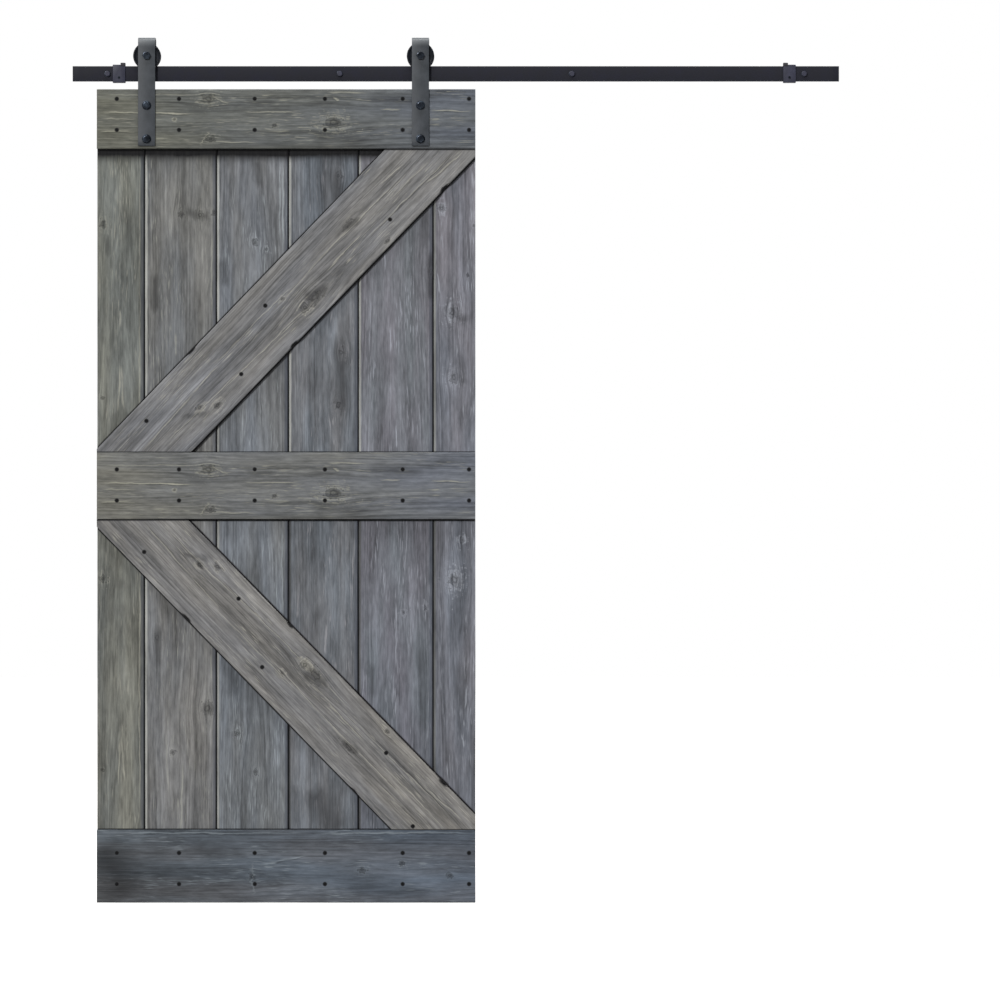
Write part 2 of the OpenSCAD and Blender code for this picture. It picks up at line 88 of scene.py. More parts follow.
def fill(node, inputs):
    """Plugs a node's live inputs by name."""
    for name, value in inputs.items():
        plug(next(s for s in node.inputs if s.enabled and s.name == name), value)


def add(tree, kind, *values, stops=None, **settings):
    """Adds a node with its settings and its ramp's stops, and plugs its live inputs, in order or by name."""
    kind, preset = kind if isinstance(kind, tuple) else (kind, {})
    node = tree.nodes.new(kind)
    for key, value in {**preset, **settings}.items():
        setattr(node, key, value)
    if stops:
        ramp = node.color_ramp.elements
        while len(ramp) < len(stops):
            ramp.new(0.5)
        for element, (place, code) in zip(ramp, stops):
            element.position, element.color = place, linear(code)
    if values and isinstance(values[0], dict):
        fill(node, values[0])
    else:
        for socket, value in zip([s for s in node.inputs if s.enabled], values):
            plug(socket, value)
    return node


def group(name, kind, inputs, outputs):
    """A new node group with named, typed sockets: its tree, its adder, what comes in, and its end."""
    tree = bpy.data.node_groups.new(name, kind)
    for side, sockets in (("INPUT", inputs), ("OUTPUT", outputs)):
        for label, (socket_type, default) in sockets.items():
            socket = tree.interface.new_socket(name=label, in_out=side,
                                               socket_type="NodeSocket" + socket_type)
            if default is not None:
                socket.default_value = default
    start, end = tree.nodes.new("NodeGroupInput"), tree.nodes.new("NodeGroupOutput")
    return tree, partial(add, tree), start.outputs, end


def shown(name, data):
    """A new object of the scene."""
    made = bpy.data.objects.new(name, data)
    bpy.context.scene.collection.objects.link(made)
    return made


# ---- Camera and light, in metres ----

camera = shown("camera", bpy.data.cameras.new("camera"))
camera.data.lens, camera.data.sensor_width, camera.data.clip_end = 150, 36, 100
camera.location = (0.116, -10.98, -1.119)
camera.rotation_euler = (math.radians(90), 0, 0)
bpy.context.scene.camera = camera
bpy.context.scene.view_settings.view_transform = "Standard"


def lamp(name, kind, place, aim, energy, **settings):
    """A lamp at a place in metres, turned towards a point."""
    data = bpy.data.lights.new(name, kind)
    data.energy = energy
    for key, value in settings.items():
        setattr(data, key, value)
    made = shown(name, data)
    made.location = place
    made.rotation_euler = (Vector(aim) - Vector(place)).to_track_quat("-Z", "Y").to_euler()


lamp("key", "SUN", (-2.1, -5.2, 2.2), (0, 0, 0), 2.36, angle=math.radians(7))
lamp("top", "AREA", (-0.4, -1.6, 4.2), (-0.4, 0, -0.9), 170, shape="RECTANGLE", size=3.0, size_y=0.8)
lamp("side", "AREA", (4.2, -2.6, 0.6), (0.1, 0, -0.6), 38, shape="RECTANGLE", size=0.6, size_y=2.4)
lamp("back", "AREA", (2.5, 5.0, 2.6), (0, 0, -1.0), 220, shape="RECTANGLE", size=2.5, size_y=2.0)

world = bpy.data.worlds.new("studio")
world.use_nodes = True
bpy.context.scene.world = world
world.node_tree.nodes.clear()
put = partial(add, world.node_tree)
dim = put("ShaderNodeBackground", linear("#f1f1f0"), 0.2)
seen = put("ShaderNodeBackground", (1, 1, 1, 1), 1.0)
mixed = put("ShaderNodeMixShader", put("ShaderNodeLightPath").outputs["Is Camera Ray"], dim, seen)
put("ShaderNodeOutputWorld", mixed)


# ---- Materials ----

def material(name):
    """An empty material, its adder and its shader."""
    made = bpy.data.materials.new(name)
    made.use_nodes = True
    made.node_tree.nodes.clear()
    put = partial(add, made.node_tree)
    shader = put("ShaderNodeBsdfPrincipled")
    put("ShaderNodeOutputMaterial", shader)
    return made, put, shader


def speckles(put, place, size, detail=2.0, roughness=0.5, shift=(0, 0, 0)):
    """A soft random pattern whose speckles have that size in millimetres along each axis."""
    at = put(V_TIMES_PLUS, place, tuple(1 / s for s in size), shift)
    return put(NOISE, at, 1.0, detail, roughness)


# The distance that stands for no knot nearby, in radii of a knot
NO_KNOT = 9.0


def knot_group(kind):
    """Bends the grain round one knot, and keeps the distance to the nearest knot."""
    tree, put, inp, end = group("knot " + kind, kind, {
        "Place": VEC, "Distance": FLOAT, "Halo": FLOAT, "At": VEC, "Radius": ("Float", 12.0),
        "Stretch": ("Float", 1.3), "Pale": ("Float", 0.5)}, {"Place": VEC, "Distance": FLOAT, "Halo": FLOAT})
    away = put(SPLIT, put(V_MINUS, inp["Place"], inp["At"]))
    along = put(OVER, away.outputs[0], inp["Stretch"])
    square = put(TIMES_PLUS, along, along, put(TIMES, away.outputs[2], away.outputs[2]))
    # The grain gives way by up to 1.5 / 1.7 of its distance, and less outside the knot
    radius2 = put(TIMES, inp["Radius"], inp["Radius"])
    near = put(TIMES_PLUS, radius2, 1.7, square)
    pull = put(TIMES, put(OVER, radius2, near), 1.5)
    bend = put(TIMES, pull, away.outputs[2])
    moved = put(V_MINUS, inp["Place"], put(JOIN, None, None, bend))
    # Its edge is ragged at a scale of 9 mm
    ragged = put(NOISE, put(V_SCALE, inp["Place"], 0.11), 1.0, 2.0)
    uneven = put(TIMES_PLUS, ragged, 2.4, -0.2)
    reach = put(OVER, put(TIMES, put(ROOT, square), uneven), inp["Radius"])
    ring = put(SMOOTH, reach, 2.3, 0.8, 0.0, inp["Pale"])
    fill(end, {"Place": moved, "Distance": put(LOWEST, inp["Distance"], reach),
               "Halo": put(HIGHEST, inp["Halo"], ring)})
    return tree


def streak_group(kind):
    """A soft line from one point to another, kept where it is stronger than those before it."""
    tree, put, inp, end = group("streak " + kind, kind, {
        "Place": VEC, "Streak": FLOAT, "Start": VEC, "Reach": VEC, "Width": ("Float", 3.0),
        "Strength": ("Float", 1.0), "Ends": ("Float", 3.0)}, {"Streak": FLOAT})
    flat = put(V_TIMES, put(V_MINUS, inp["Place"], inp["Start"]), (1, 0, 1))
    along, whole = put(V_DOT, flat, inp["Reach"]), put(V_DOT, inp["Reach"], inp["Reach"])
    share = put(OVER, along, whole, use_clamp=True)
    gap = put(V_DISTANCE, flat, put(V_SCALE, inp["Reach"], share))
    line = put(SMOOTH, gap, inp["Width"], 0.0, 0.0, inp["Strength"])
    # It thins out towards both ends, unless its ends are made sharp
    hump = put(TIMES, share, put(MINUS, 4.0, put(TIMES, share, 4.0)))
    plateau = put(TIMES, hump, inp["Ends"], use_clamp=True)
    fill(end, {"Streak": put(HIGHEST, inp["Streak"], put(TIMES, line, plateau))})
    return tree


def pine_group(kind):
    """The grain of a flat-sawn pine board: rings about a pith behind its face, fibres and stain.

    Every pattern has its size in millimetres along, into and across the board.
    """
    tree, put, inp, end = group("pine " + kind, kind, {
        "Place": VEC, "Distance": ("Float", NO_KNOT), "Seed": FLOAT, "Pith": ("Float", 90.0),
        "Depth": ("Float", 60.0), "Taper": ("Float", 0.02)},
        {label: FLOAT for label in ("Tone", "Fibre", "Fine", "Stain", "Hue", "Lift", "Knot", "Height")})
    moved = put(V_PLUS, inp["Place"], put(V_SCALE, (917.0, 131.0, 389.0), inp["Seed"]))
    sway = put(TIMES_PLUS, speckles(put, moved, (420, 200, 110), 2.0), 16.0, -8.0)
    here = put(SPLIT, inp["Place"])
    across = put(PLUS, put(MINUS, here.outputs[2], inp["Pith"]), sway)
    climb = put(TIMES_PLUS, here.outputs[0], inp["Taper"], inp["Depth"])
    deep = put(PLUS, climb, here.outputs[1])
    radius = put(ROOT, put(TIMES_PLUS, across, across, put(TIMES, deep, deep)))
    ring_place = put(JOIN, radius, here.outputs[0], put(TIMES, inp["Seed"], 57.0))
    # A pattern lies mostly between a third and two thirds, so some are stretched from there
    sharp = put(RANGE, speckles(put, ring_place, (3.1, 800, 1), 2.5, 0.6), 0.34, 0.66)
    bands = put(RANGE, speckles(put, ring_place, (25, 520, 1), 1.0, shift=(4.0, 1.0, 0.0)), 0.34, 0.66)
    bent = put(V_PLUS, moved, put(JOIN, None, None, sway))
    fibre = put(RANGE, speckles(put, bent, (560, 2.8, 2.8), 3.0, 0.6), 0.33, 0.67)
    fine = speckles(put, bent, (60, 1.0, 1.0), 2.0, 0.6, shift=(5.1, 2.3, 8.9))
    mottle = speckles(put, moved, (40, 9, 7), 3.0, 0.62, shift=(0.7, 5.2, 3.1))
    spots = put(RANGE, mottle, 0.33, 0.67)
    pooled = speckles(put, moved, (180, 50, 38), 2.5, 0.55, shift=(1.7, 4.2, 6.1))
    stain = put(TIMES_PLUS, pooled, 0.6, put(TIMES, mottle, 0.4))
    hue = speckles(put, moved, (420, 60, 62), 2.0, 0.5, shift=(7.3, 3.1, 0.4))
    patch = put(SMOOTH, speckles(put, moved, (160, 50, 34), 1.0, shift=(2.9, 8.8, 5.0)), 0.48, 0.62)
    hairs = put(SMOOTH, speckles(put, bent, (40, 2.2, 2.2), 1.5, shift=(3.3, 9.1, 2.2)), 0.56, 0.7)
    lift = put(TIMES, patch, hairs)
    knot = put(SMOOTH, inp["Distance"], 1.15, 0.6)
    waves = put(SINE, put(TIMES_PLUS, inp["Distance"], 11.0, put(TIMES, mottle, 9.0)))
    eye = put(TIMES, put(TIMES_PLUS, waves, 0.18, 0.54), knot)
    grain = put(TIMES_PLUS, sharp, 0.62, put(TIMES, fibre, 0.38))
    height = put(TIMES_PLUS, knot, 0.6, grain)
    tone = 0.0
    for part, weight in ((sharp, 0.3), (fibre, 0.22), (bands, 0.23), (fine, 0.13), (spots, 0.12)):
        tone = put(TIMES_PLUS, part, weight, tone)
    fill(end, {"Tone": tone, "Fibre": fibre, "Fine": fine, "Stain": stain, "Hue": hue, "Lift": lift,
               "Knot": eye, "Height": height})
    return tree


GROUPS = {kind: {"knot": knot_group(kind), "streak": streak_group(kind), "pine": pine_group(kind),
                 "node": node}
          for kind, node in ((SHADER, "ShaderNodeGroup"), (GEOMETRY, "GeometryNodeGroup"))}


def board_pattern(put, kind, place, board):
    """Adds a board's pattern from its place along, into and across: pine, pale rings, streaks and shades."""
    groups = GROUPS[kind]
    bent, near, halo = place, NO_KNOT, 0.0
    for at, radius, stretch, pale in board["knots"]:
        bent, near, halo = put(groups["node"], {
            "Place": bent, "At": at, "Radius": radius, "Stretch": stretch, "Pale": pale, "Distance": near,
            "Halo": halo}, node_tree=groups["knot"]).outputs
    lines = {"streaks": None, "shades": None}
    if board["streaks"]:
        # Lines along the boards' edges are straight; streaks and shades fade, and wander by up to 22 mm
        stir = speckles(put, place, (60, 40, 16), 3.0, 0.6)
        wander = put(V_TIMES_PLUS, stir.outputs["Color"], (44, 0, 13), (-22, 0, -6.5))
        drawn = put(V_PLUS, place, wander)
    for kept in lines:
        for start, reach, width, strength, ends in board[kept]:
            lines[kept] = put(groups["node"], {
                "Place": place if ends else drawn, "Start": start, "Reach": reach, "Width": width,
                "Strength": strength, "Ends": ends or 1.6, "Streak": lines[kept]}, node_tree=groups["streak"])
    pine = put(groups["node"], {
        "Place": bent, "Seed": board["seed"], "Pith": board["pith"], "Depth": board["depth"],
        "Taper": board["taper"], "Distance": near}, node_tree=groups["pine"])
    return pine.outputs, halo, lines["streaks"], lines["shades"]


def joint_stain(put, wood, board, out, along, into, across):
    """Paints a slate band beside each joint; its right bevel gets a painted highlight in places, the left is
    dark.
    """
    for edge, lit_bevel in board["joints"]:
        gap = put(SIZE_OF, put(MINUS, across, edge))
        reach = 5.4 if lit_bevel else 3.8
        side = put(SMOOTH, gap, reach + 1.4, reach)
        wide = put(SMOOTH, gap, 13.0, 8.0, 0.0, 0.08 if lit_bevel else 0.52)
        bevel = put(RANGE, into, -0.8, 0.5, 0.0, 0.92)
        pool = put(RANGE, into, 2.5 if lit_bevel else 0.8, 2.95, 0.0, 0.97)
        skin = linear("#1b1d23")
        if lit_bevel:
            # The right bevel faces the key light, so a painted highlight makes it pale in places
            upper, lower = lit_bevel
            where = put(RANGE, along, MIDDLE - 1, MIDDLE + 1, lower, upper)
            painted_highlight = put(TIMES, where, put(TIMES_PLUS, out["Stain"], 2.2, -0.1), use_clamp=True)
            skin = put(BLEND, painted_highlight, linear("#14161b"), linear("#b3b4af"))
        for factor, colour in ((wide, linear("#3a3f4b")), (put(TIMES, bevel, side), skin),
                               (put(TIMES, pool, side), linear("#0c0c0e"))):
            wood = put(BLEND, factor, wood, colour)
    return wood


def stained_pine(name, board):
    """Brushed knotty pine under a thin grey stain: matt, with pale lifted fibres and dark knots."""
    made, put, shader = material(name)
    turn = board["turn"]
    coordinates = put("ShaderNodeTexCoord")
    place = put("ShaderNodeMapping", {
        "Vector": coordinates.outputs["Object"], "Location": board["origin"], "Rotation": (0, -turn, 0),
        "Scale": (MM, MM, MM)}, vector_type="TEXTURE")
    along, into, across = put(SPLIT, place).outputs
    out, halo, streak, dark = board_pattern(put, SHADER, place, board)
    tone, drift, lean = board["tone"]
    light = put(RANGE, out["Tone"], 0.2, 0.8, 0.56, 1.42, clamp=False)
    cloud = put(RANGE, out["Stain"], 0.3, 0.7, 0.6, 1.4)
    wood = put(V_SCALE, linear(tone)[:3], put(TIMES, light, cloud))
    # The stain drifts in hue over the board, and from one end of it to the other
    wander = put(RANGE, out["Hue"], 0.36, 0.64, -0.2, 1.2)
    onward = put(RANGE, along, 0.0, board["length"])
    for factor, tint in ((wander, drift), (onward, lean)):
        wood = put(V_TIMES, wood, put(MIX, factor, (1, 1, 1), tint, data_type="VECTOR", clamp_factor=False))
    # The fibres break up the pale streaks and the pale rings round knots
    pale = put(TIMES, out["Lift"], 0.45)
    for mask, floor, share in ((streak, 0.5, 0.6), (halo, -0.35, 1.15)):
        broken = put(TIMES_PLUS, out["Fibre"], share, floor, use_clamp=True)
        pale = put(HIGHEST, put(TIMES, mask, broken), pale)
    wood = put(BLEND, pale, wood, linear(board["pale"]))
    wood = joint_stain(put, wood, board, out, along, into, across)
    knotted = put(TIMES, out["Knot"], 0.95)
    if board["screws"]:
        # A dark ring round each sunk screw: stain pooled there, and painted shade at the hole's mouth
        nearest = 99.0
        for at in board["screws"]:
            nearest = put(LOWEST, nearest, put(V_DISTANCE, place, at))
        knotted = put(HIGHEST, knotted, put(SMOOTH, nearest, 7.5, 4.2, 0.0, 0.95))
    # Only the face and the chips take the shades, painted shade among them: a plank's stay clear of its back
    deep = 7.0 if board["joints"] else 16.0
    front = put(RANGE, into, deep, deep - 2.5)
    uneven = put(TIMES_PLUS, out["Stain"], 1.1, 0.4)
    soft = put(TIMES, put(TIMES, dark, uneven, use_clamp=True), front)
    wood = put(BLEND, put(HIGHEST, knotted, soft), wood, linear("#08080a"))
    # Sawn ends drink more stain, so they are darker
    facing = put(V_DOT, coordinates.outputs["Normal"], (math.cos(turn), 0, math.sin(turn)))
    sawn = put(RANGE, put(SIZE_OF, facing), 0.6, 0.9, 0.0, 0.6)
    fill(shader, {
        "Base Color": put(BLEND, sawn, wood, linear("#3d3a34")),
        "Roughness": put(RANGE, out["Fibre"], 0.0, 1.0, 0.78, 0.6),
        "Normal": put("ShaderNodeBump", {"Height": put(TIMES_PLUS, out["Fine"], 0.45, out["Height"]),
                                         "Distance": 0.35 * MM, "Strength": 0.8}),
        "IOR": 1.5, "Specular IOR Level": 0.2})
    return made


def coated(name, tones, grit, roughness, metallic=0.0, depth=0.05, ior=1.5, gloss=0.5, painted_highlight=None):
    """A coat with fine grit and soft clouds of tone, and a paler band of painted highlight between two
    heights; in millimetres.
    """
    made, put, shader = material(name)
    place = put(V_SCALE, put("ShaderNodeTexCoord").outputs["Object"], 1 / MM)
    clouds = speckles(put, place, (grit * 34,) * 3, 3.0, 0.6)
    grains = speckles(put, place, (grit,) * 3, 2.0, 0.6)
    both = put(TIMES_PLUS, clouds, 0.65, put(TIMES, grains, 0.35))
    colour = put(RAMP, both, stops=list(zip((0.3, 0.5, 0.72), tones)))
    if painted_highlight:
        low, high, pale, strength = painted_highlight
        # Painted highlight: paler between the two heights, where the bend catches the light
        thin = put(SMOOTH, put(SPLIT, place).outputs[2], low, high, 0.0, strength)
        colour = put(BLEND, thin, colour, linear(pale))
    fill(shader, {
        "Base Color": colour, "Roughness": put(RANGE, both, 0.3, 0.7, roughness - 0.07, roughness + 0.08),
        "Normal": put("ShaderNodeBump", {"Height": grains, "Distance": depth * MM, "Strength": 0.7}),
        "Metallic": metallic, "Specular IOR Level": gloss, "IOR": None if metallic else ior})
    return made


# Powder-coated steel, matt black: near-black with a faint blue cast and fine orange peel
track_coat = coated("powder_coated_steel_black", ("#0c0d16", "#10111b", "#161724"), 0.9, 0.62, gloss=0.2)
# Powder-coated steel, slate grey satin: an even soft sheen, with a painted highlight in a paler band over the
# top bend
STRAP_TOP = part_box("hanger_strap_left")[1][2] / MM
strap_coat = coated("powder_coated_steel_slate", ("#292d31", "#303439", "#3a3e44"), 0.8, 0.42, gloss=0.35,
                    painted_highlight=(STRAP_TOP - 26, STRAP_TOP - 2, "#7c8083", 0.6))
# Powder-coated steel, graphite: a little lighter than the bar it sits on
stop_coat = coated("powder_coated_steel_graphite", ("#1e1f2c", "#242534", "#2f3042"), 0.9, 0.5, gloss=0.3)
# Black-oxide steel: dark, slightly blue, with an oily gleam on its facets
black_oxide = coated("black_oxide_steel", ("#12151b", "#20262f", "#3d4854"), 0.5, 0.26, 0.7, 0.02)
# Phosphated steel screws: matt near-black
phosphate = coated("phosphated_steel", ("#060608", "#0a0a0c", "#131316"), 0.4, 0.7, 0.2, 0.02, gloss=0.15)
# Turned acetal, black: a dense plastic with a soft gleam
acetal = coated("turned_acetal_black", ("#07090e", "#0b0e15", "#141923"), 0.5, 0.34, 0.0, 0.02, 1.48, 0.15)
# Moulded rubber, black: dull with fine talc-like speckle
rubber = coated("moulded_rubber_black", ("#17171b", "#232228", "#36353b"), 0.7, 0.82, 0.0, 0.08, 1.52)
# Ground bearing steel: bright, faintly clouded
bearing_steel = coated("ground_bearing_steel", ("#8f9196", "#a7a9ae", "#c2c4c8"), 0.3, 0.2, 1.0, 0.005)
# Zinc-plated shields: pale grey with a cloudy passivated skin
zinc = coated("zinc_plated_steel", ("#6d7076", "#85888e", "#a0a3a8"), 0.6, 0.36, 1.0, 0.01)
# Pressed brass cage: dull yellow
brass = coated("pressed_brass", ("#7d6a3c", "#9a8349", "#b49c5d"), 0.5, 0.34, 1.0, 0.01)
# Turned steel bushes: bright with fine tool marks
turned_steel = coated("turned_steel", ("#74777c", "#8c8f94", "#a9abb0"), 0.35, 0.32, 1.0, 0.01)


# ---- Shapes, as a list of points and a list of faces in millimetres ----

def eased(points, radius, steps=3):
    """A closed outline with its corners rounded; radius is one number, or one for each corner."""
    made = []
    count = len(points)
    for i, point in enumerate(points):
        here = np.array(point, float)
        r = radius[i] if isinstance(radius, (list, tuple)) else radius
        if not r:
            made.append(here)
            continue
        before, after = (np.array(points[j], float) - here for j in (i - 1, (i + 1) % count))
        a, b = (here + way / np.linalg.norm(way) * min(r, 0.48 * np.linalg.norm(way))
                for way in (before, after))
        made += [(1 - t) ** 2 * a + 2 * t * (1 - t) * here + t ** 2 * b for t in np.linspace(0, 1, steps + 1)]
    return made


def loft(rings, closed=False):
    """Joins equal rings of points into a skin; an open one gets its two ends closed."""
    count, size = len(rings), len(rings[0])
    points = [p for ring in rings for p in ring]
    faces = [[i % count * size + j, i % count * size + (j + 1) % size,
              (i + 1) % count * size + (j + 1) % size, (i + 1) % count * size + j]
             for i in range(count if closed else count - 1) for j in range(size)]
    if not closed:
        faces += [list(range(size))[::-1], list(range((count - 1) * size, count * size))]
    return points, faces


def turned(outline, around=96, at=(0, 0, 0)):
    """An outline of (radius, depth) turned about an axis along Y."""
    angles = [2 * math.pi * i / around for i in range(around)]
    return loft([[(at[0] + r * math.cos(a), at[1] + y, at[2] + r * math.sin(a)) for r, y in outline]
                 for a in angles], closed=True)


def bore(radius, start, stop, around, at):
    """A round hole's cutter along Y."""
    return turned([(0, start), (radius, start), (radius, stop), (0, stop)], around, at)


def joined(shapes):
    """Several shapes as one."""
    points, faces = [], []
    for more_points, more_faces in shapes:
        base = len(points)
        points += list(more_points)
        faces += [[base + i for i in face] for face in more_faces]
    return points, faces


def smoothed(mesh):
    """Shades a mesh smooth, with sharp edges where it turns by more than 32 degrees."""
    mesh.shade_smooth()
    mesh.set_sharp_from_angle(angle=math.radians(32))


def tidy(mesh):
    """Merges a mesh's doubles and turns its faces outwards."""
    work = bmesh.new()
    work.from_mesh(mesh)
    bmesh.ops.remove_doubles(work, verts=work.verts, dist=1e-5)
    bmesh.ops.dissolve_degenerate(work, edges=work.edges, dist=1e-6)
    bmesh.ops.recalc_face_normals(work, faces=work.faces)
    work.to_mesh(mesh)
    work.free()
    smoothed(mesh)


def mesh_of(name, shape):
    """A tidy mesh of a shape."""
    mesh = bpy.data.meshes.new(name)
    mesh.from_pydata([tuple(map(float, p)) for p in shape[0]], [], shape[1])
    tidy(mesh)
    return mesh


def modified(mesh, kind, inputs=None, **settings):
    """The mesh after one modifier; inputs fill its node tree's sockets."""
    holder = shown("holder", mesh)
    modifier = holder.modifiers.new(kind, kind)
    for key, value in settings.items():
        setattr(modifier, key, value)
    if inputs:
        sockets = modifier.node_group.interface.items_tree
        names = {s.name: s.identifier for s in sockets if s.in_out == "INPUT"}
        for label, value in inputs.items():
            modifier[names[label]] = value
    graph = bpy.context.evaluated_depsgraph_get()
    made = bpy.data.meshes.new_from_object(holder.evaluated_get(graph), preserve_all_data_layers=True,
                                           depsgraph=graph)
    bpy.data.objects.remove(holder)
    return made


# Objects that another one's modifier uses; they are thrown away at the end
HELPERS = []


def helper(name, mesh):
    """A helper object of a mesh, or of a shape."""
    HELPERS.append(shown(name, mesh if isinstance(mesh, bpy.types.Mesh) else mesh_of(name, mesh)))
    return HELPERS[-1]


def cut(mesh, *cutters, solver="MANIFOLD", operation="DIFFERENCE"):
    """Cuts a mesh with one helper after another."""
    for cutter in cutters:
        mesh = modified(mesh, "BOOLEAN", operation=operation, solver=solver, object=cutter)
    return mesh


def settle(name, mesh, body, nodes, finish=None, scale=MM):
    """Makes a finished piece: in metres, with its material, riding on its body for its CAD nodes."""
    mesh.transform(Matrix.Scale(scale, 4))
    mesh.name = name
    if finish:
        mesh.materials.clear()
        mesh.materials.append(finish)
    piece = shown(name, mesh)
    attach(piece, body)
    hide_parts(*nodes)


def span(node):
    """A CAD node's two corners in millimetres."""
    return [[v / MM for v in corner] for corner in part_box(node)]


def corners_of(a, b, c, d):
    """The corners of a rectangle from a to b one way and from c to d the other."""
    return [(a, c), (b, c), (b, d), (a, d)]


def block(x, y, z, ease=0.0, steps=3):
    """A block between two values on each axis, its edges bevelled."""
    mesh = mesh_of("block", loft([[(end, b, c) for b, c in corners_of(*y, *z)] for end in x]))
    if ease:
        mesh = modified(mesh, "BEVEL", width=ease, segments=steps, limit_method="ANGLE",
                        angle_limit=math.radians(40))
    return mesh


# ---- Sizes that the frame gives ----

(DOOR_LEFT, DOOR_FRONT, _), (DOOR_RIGHT, PLANK_FRONT, DOOR_TOP) = span("top_rail")
(_, _, DOOR_BOTTOM), (_, DOOR_BACK, _) = span("plank_1")
DOOR_WIDTH = DOOR_RIGHT - DOOR_LEFT
# The middle rail's height above the door's lower edge
MIDDLE = (span("mid_rail")[0][2] + span("mid_rail")[1][2]) / 2 - DOOR_BOTTOM
HANGERS = {side: sum(v[0] for v in span("wheel_" + side)) / 2 for side in SIDES}
AXLE_Z = sum(v[2] for v in span("wheel_left")) / 2
BAR_LOW, BAR_HIGH = span("track_bar")
BAR_MIDDLE = (BAR_LOW[1] + BAR_HIGH[1]) / 2

# ---- Sizes that it doesn't give ----

TONGUE, TONGUE_THICK, V_JOINT, GROOVE_PLAY = 8.0, 6.0, 3.0, 0.15
BRACE_WIDTH = 184.0
# How far each brace's end corners stand off the rails, at the door's left edge and at its right
BRACE_GAPS = {"brace_upper": (9.0, 21.0), "brace_lower": (20.0, 39.0)}
# The rails' screws, in columns from the door's left edge and rows from a rail's lower edge
COLUMNS = (52.5, 215.7, 414.2, 598.4, 802.4, 976.5)
ROWS = (49.0, 130.5)
# The braces' screws, as a share of the panel's height and a distance from the brace's edge
BRACE_SCREWS = {"brace_upper": ((0.093, 43), (0.249, 137), (0.477, 58), (0.764, 137)),
                "brace_lower": ((0.083, 43), (0.237, 135), (0.463, 54), (0.746, 130), (0.988, 46))}
HEAD, SHANK, SCREW_LENGTH, SINK = 8.0, 3.5, 30.0, 0.4
STRAP_BOLT_Z = (DOOR_TOP - 43, DOOR_TOP - 131)
BOLT, BOLT_HOLE, AXLE, AXLE_HOLE = 10.0, 10.5, 12.0, 12.5
WALL_X = (-914.4, -304.8, 304.8, 914.4)
WALL_SCREW, BAR_HOLE, WALL_WASHER, WALL_DEPTH = 7.9, 9.0, 1.6, 57.0
# How far a bolt's or a wall screw's shank starts inside its head
IN_HEAD, IN_WALL_HEAD = 3.0, 2.0
# How far the bolts stand out behind the door, and the axle behind the strap
BOLT_PAST, AXLE_PAST = 8.5, 10.0


def brace_frame(node):
    """A brace's origin, its turn and its screws' places."""
    low, high = span(node)
    height = high[2] - low[2]
    near, far = BRACE_GAPS[node]
    rise = height - near - far
    slope = math.atan2(rise, DOOR_WIDTH) + math.asin(BRACE_WIDTH / math.hypot(DOOR_WIDTH, rise))
    corner, way = (high[2] - near, -1) if node == "brace_lower" else (low[2] + near, 1)
    places = []
    for share, inset in BRACE_SCREWS[node]:
        up = share * (height - near)
        along = (up + inset * math.cos(slope)) / math.sin(slope)
        places.append((DOOR_LEFT + along * math.cos(slope) + inset * math.sin(slope), corner + way * up))
    return (DOOR_LEFT, DOOR_FRONT, corner), way * slope, places


BRACES = {node: brace_frame(node) for node in BRACE_SCREWS}
SCREWS = {rail: [(DOOR_LEFT + x, span(rail)[0][2] + z) for z in ROWS for x in COLUMNS]
          for rail in ("top_rail", "mid_rail", "bottom_rail")}
SCREWS.update({node: places for node, (origin, turn, places) in BRACES.items()})
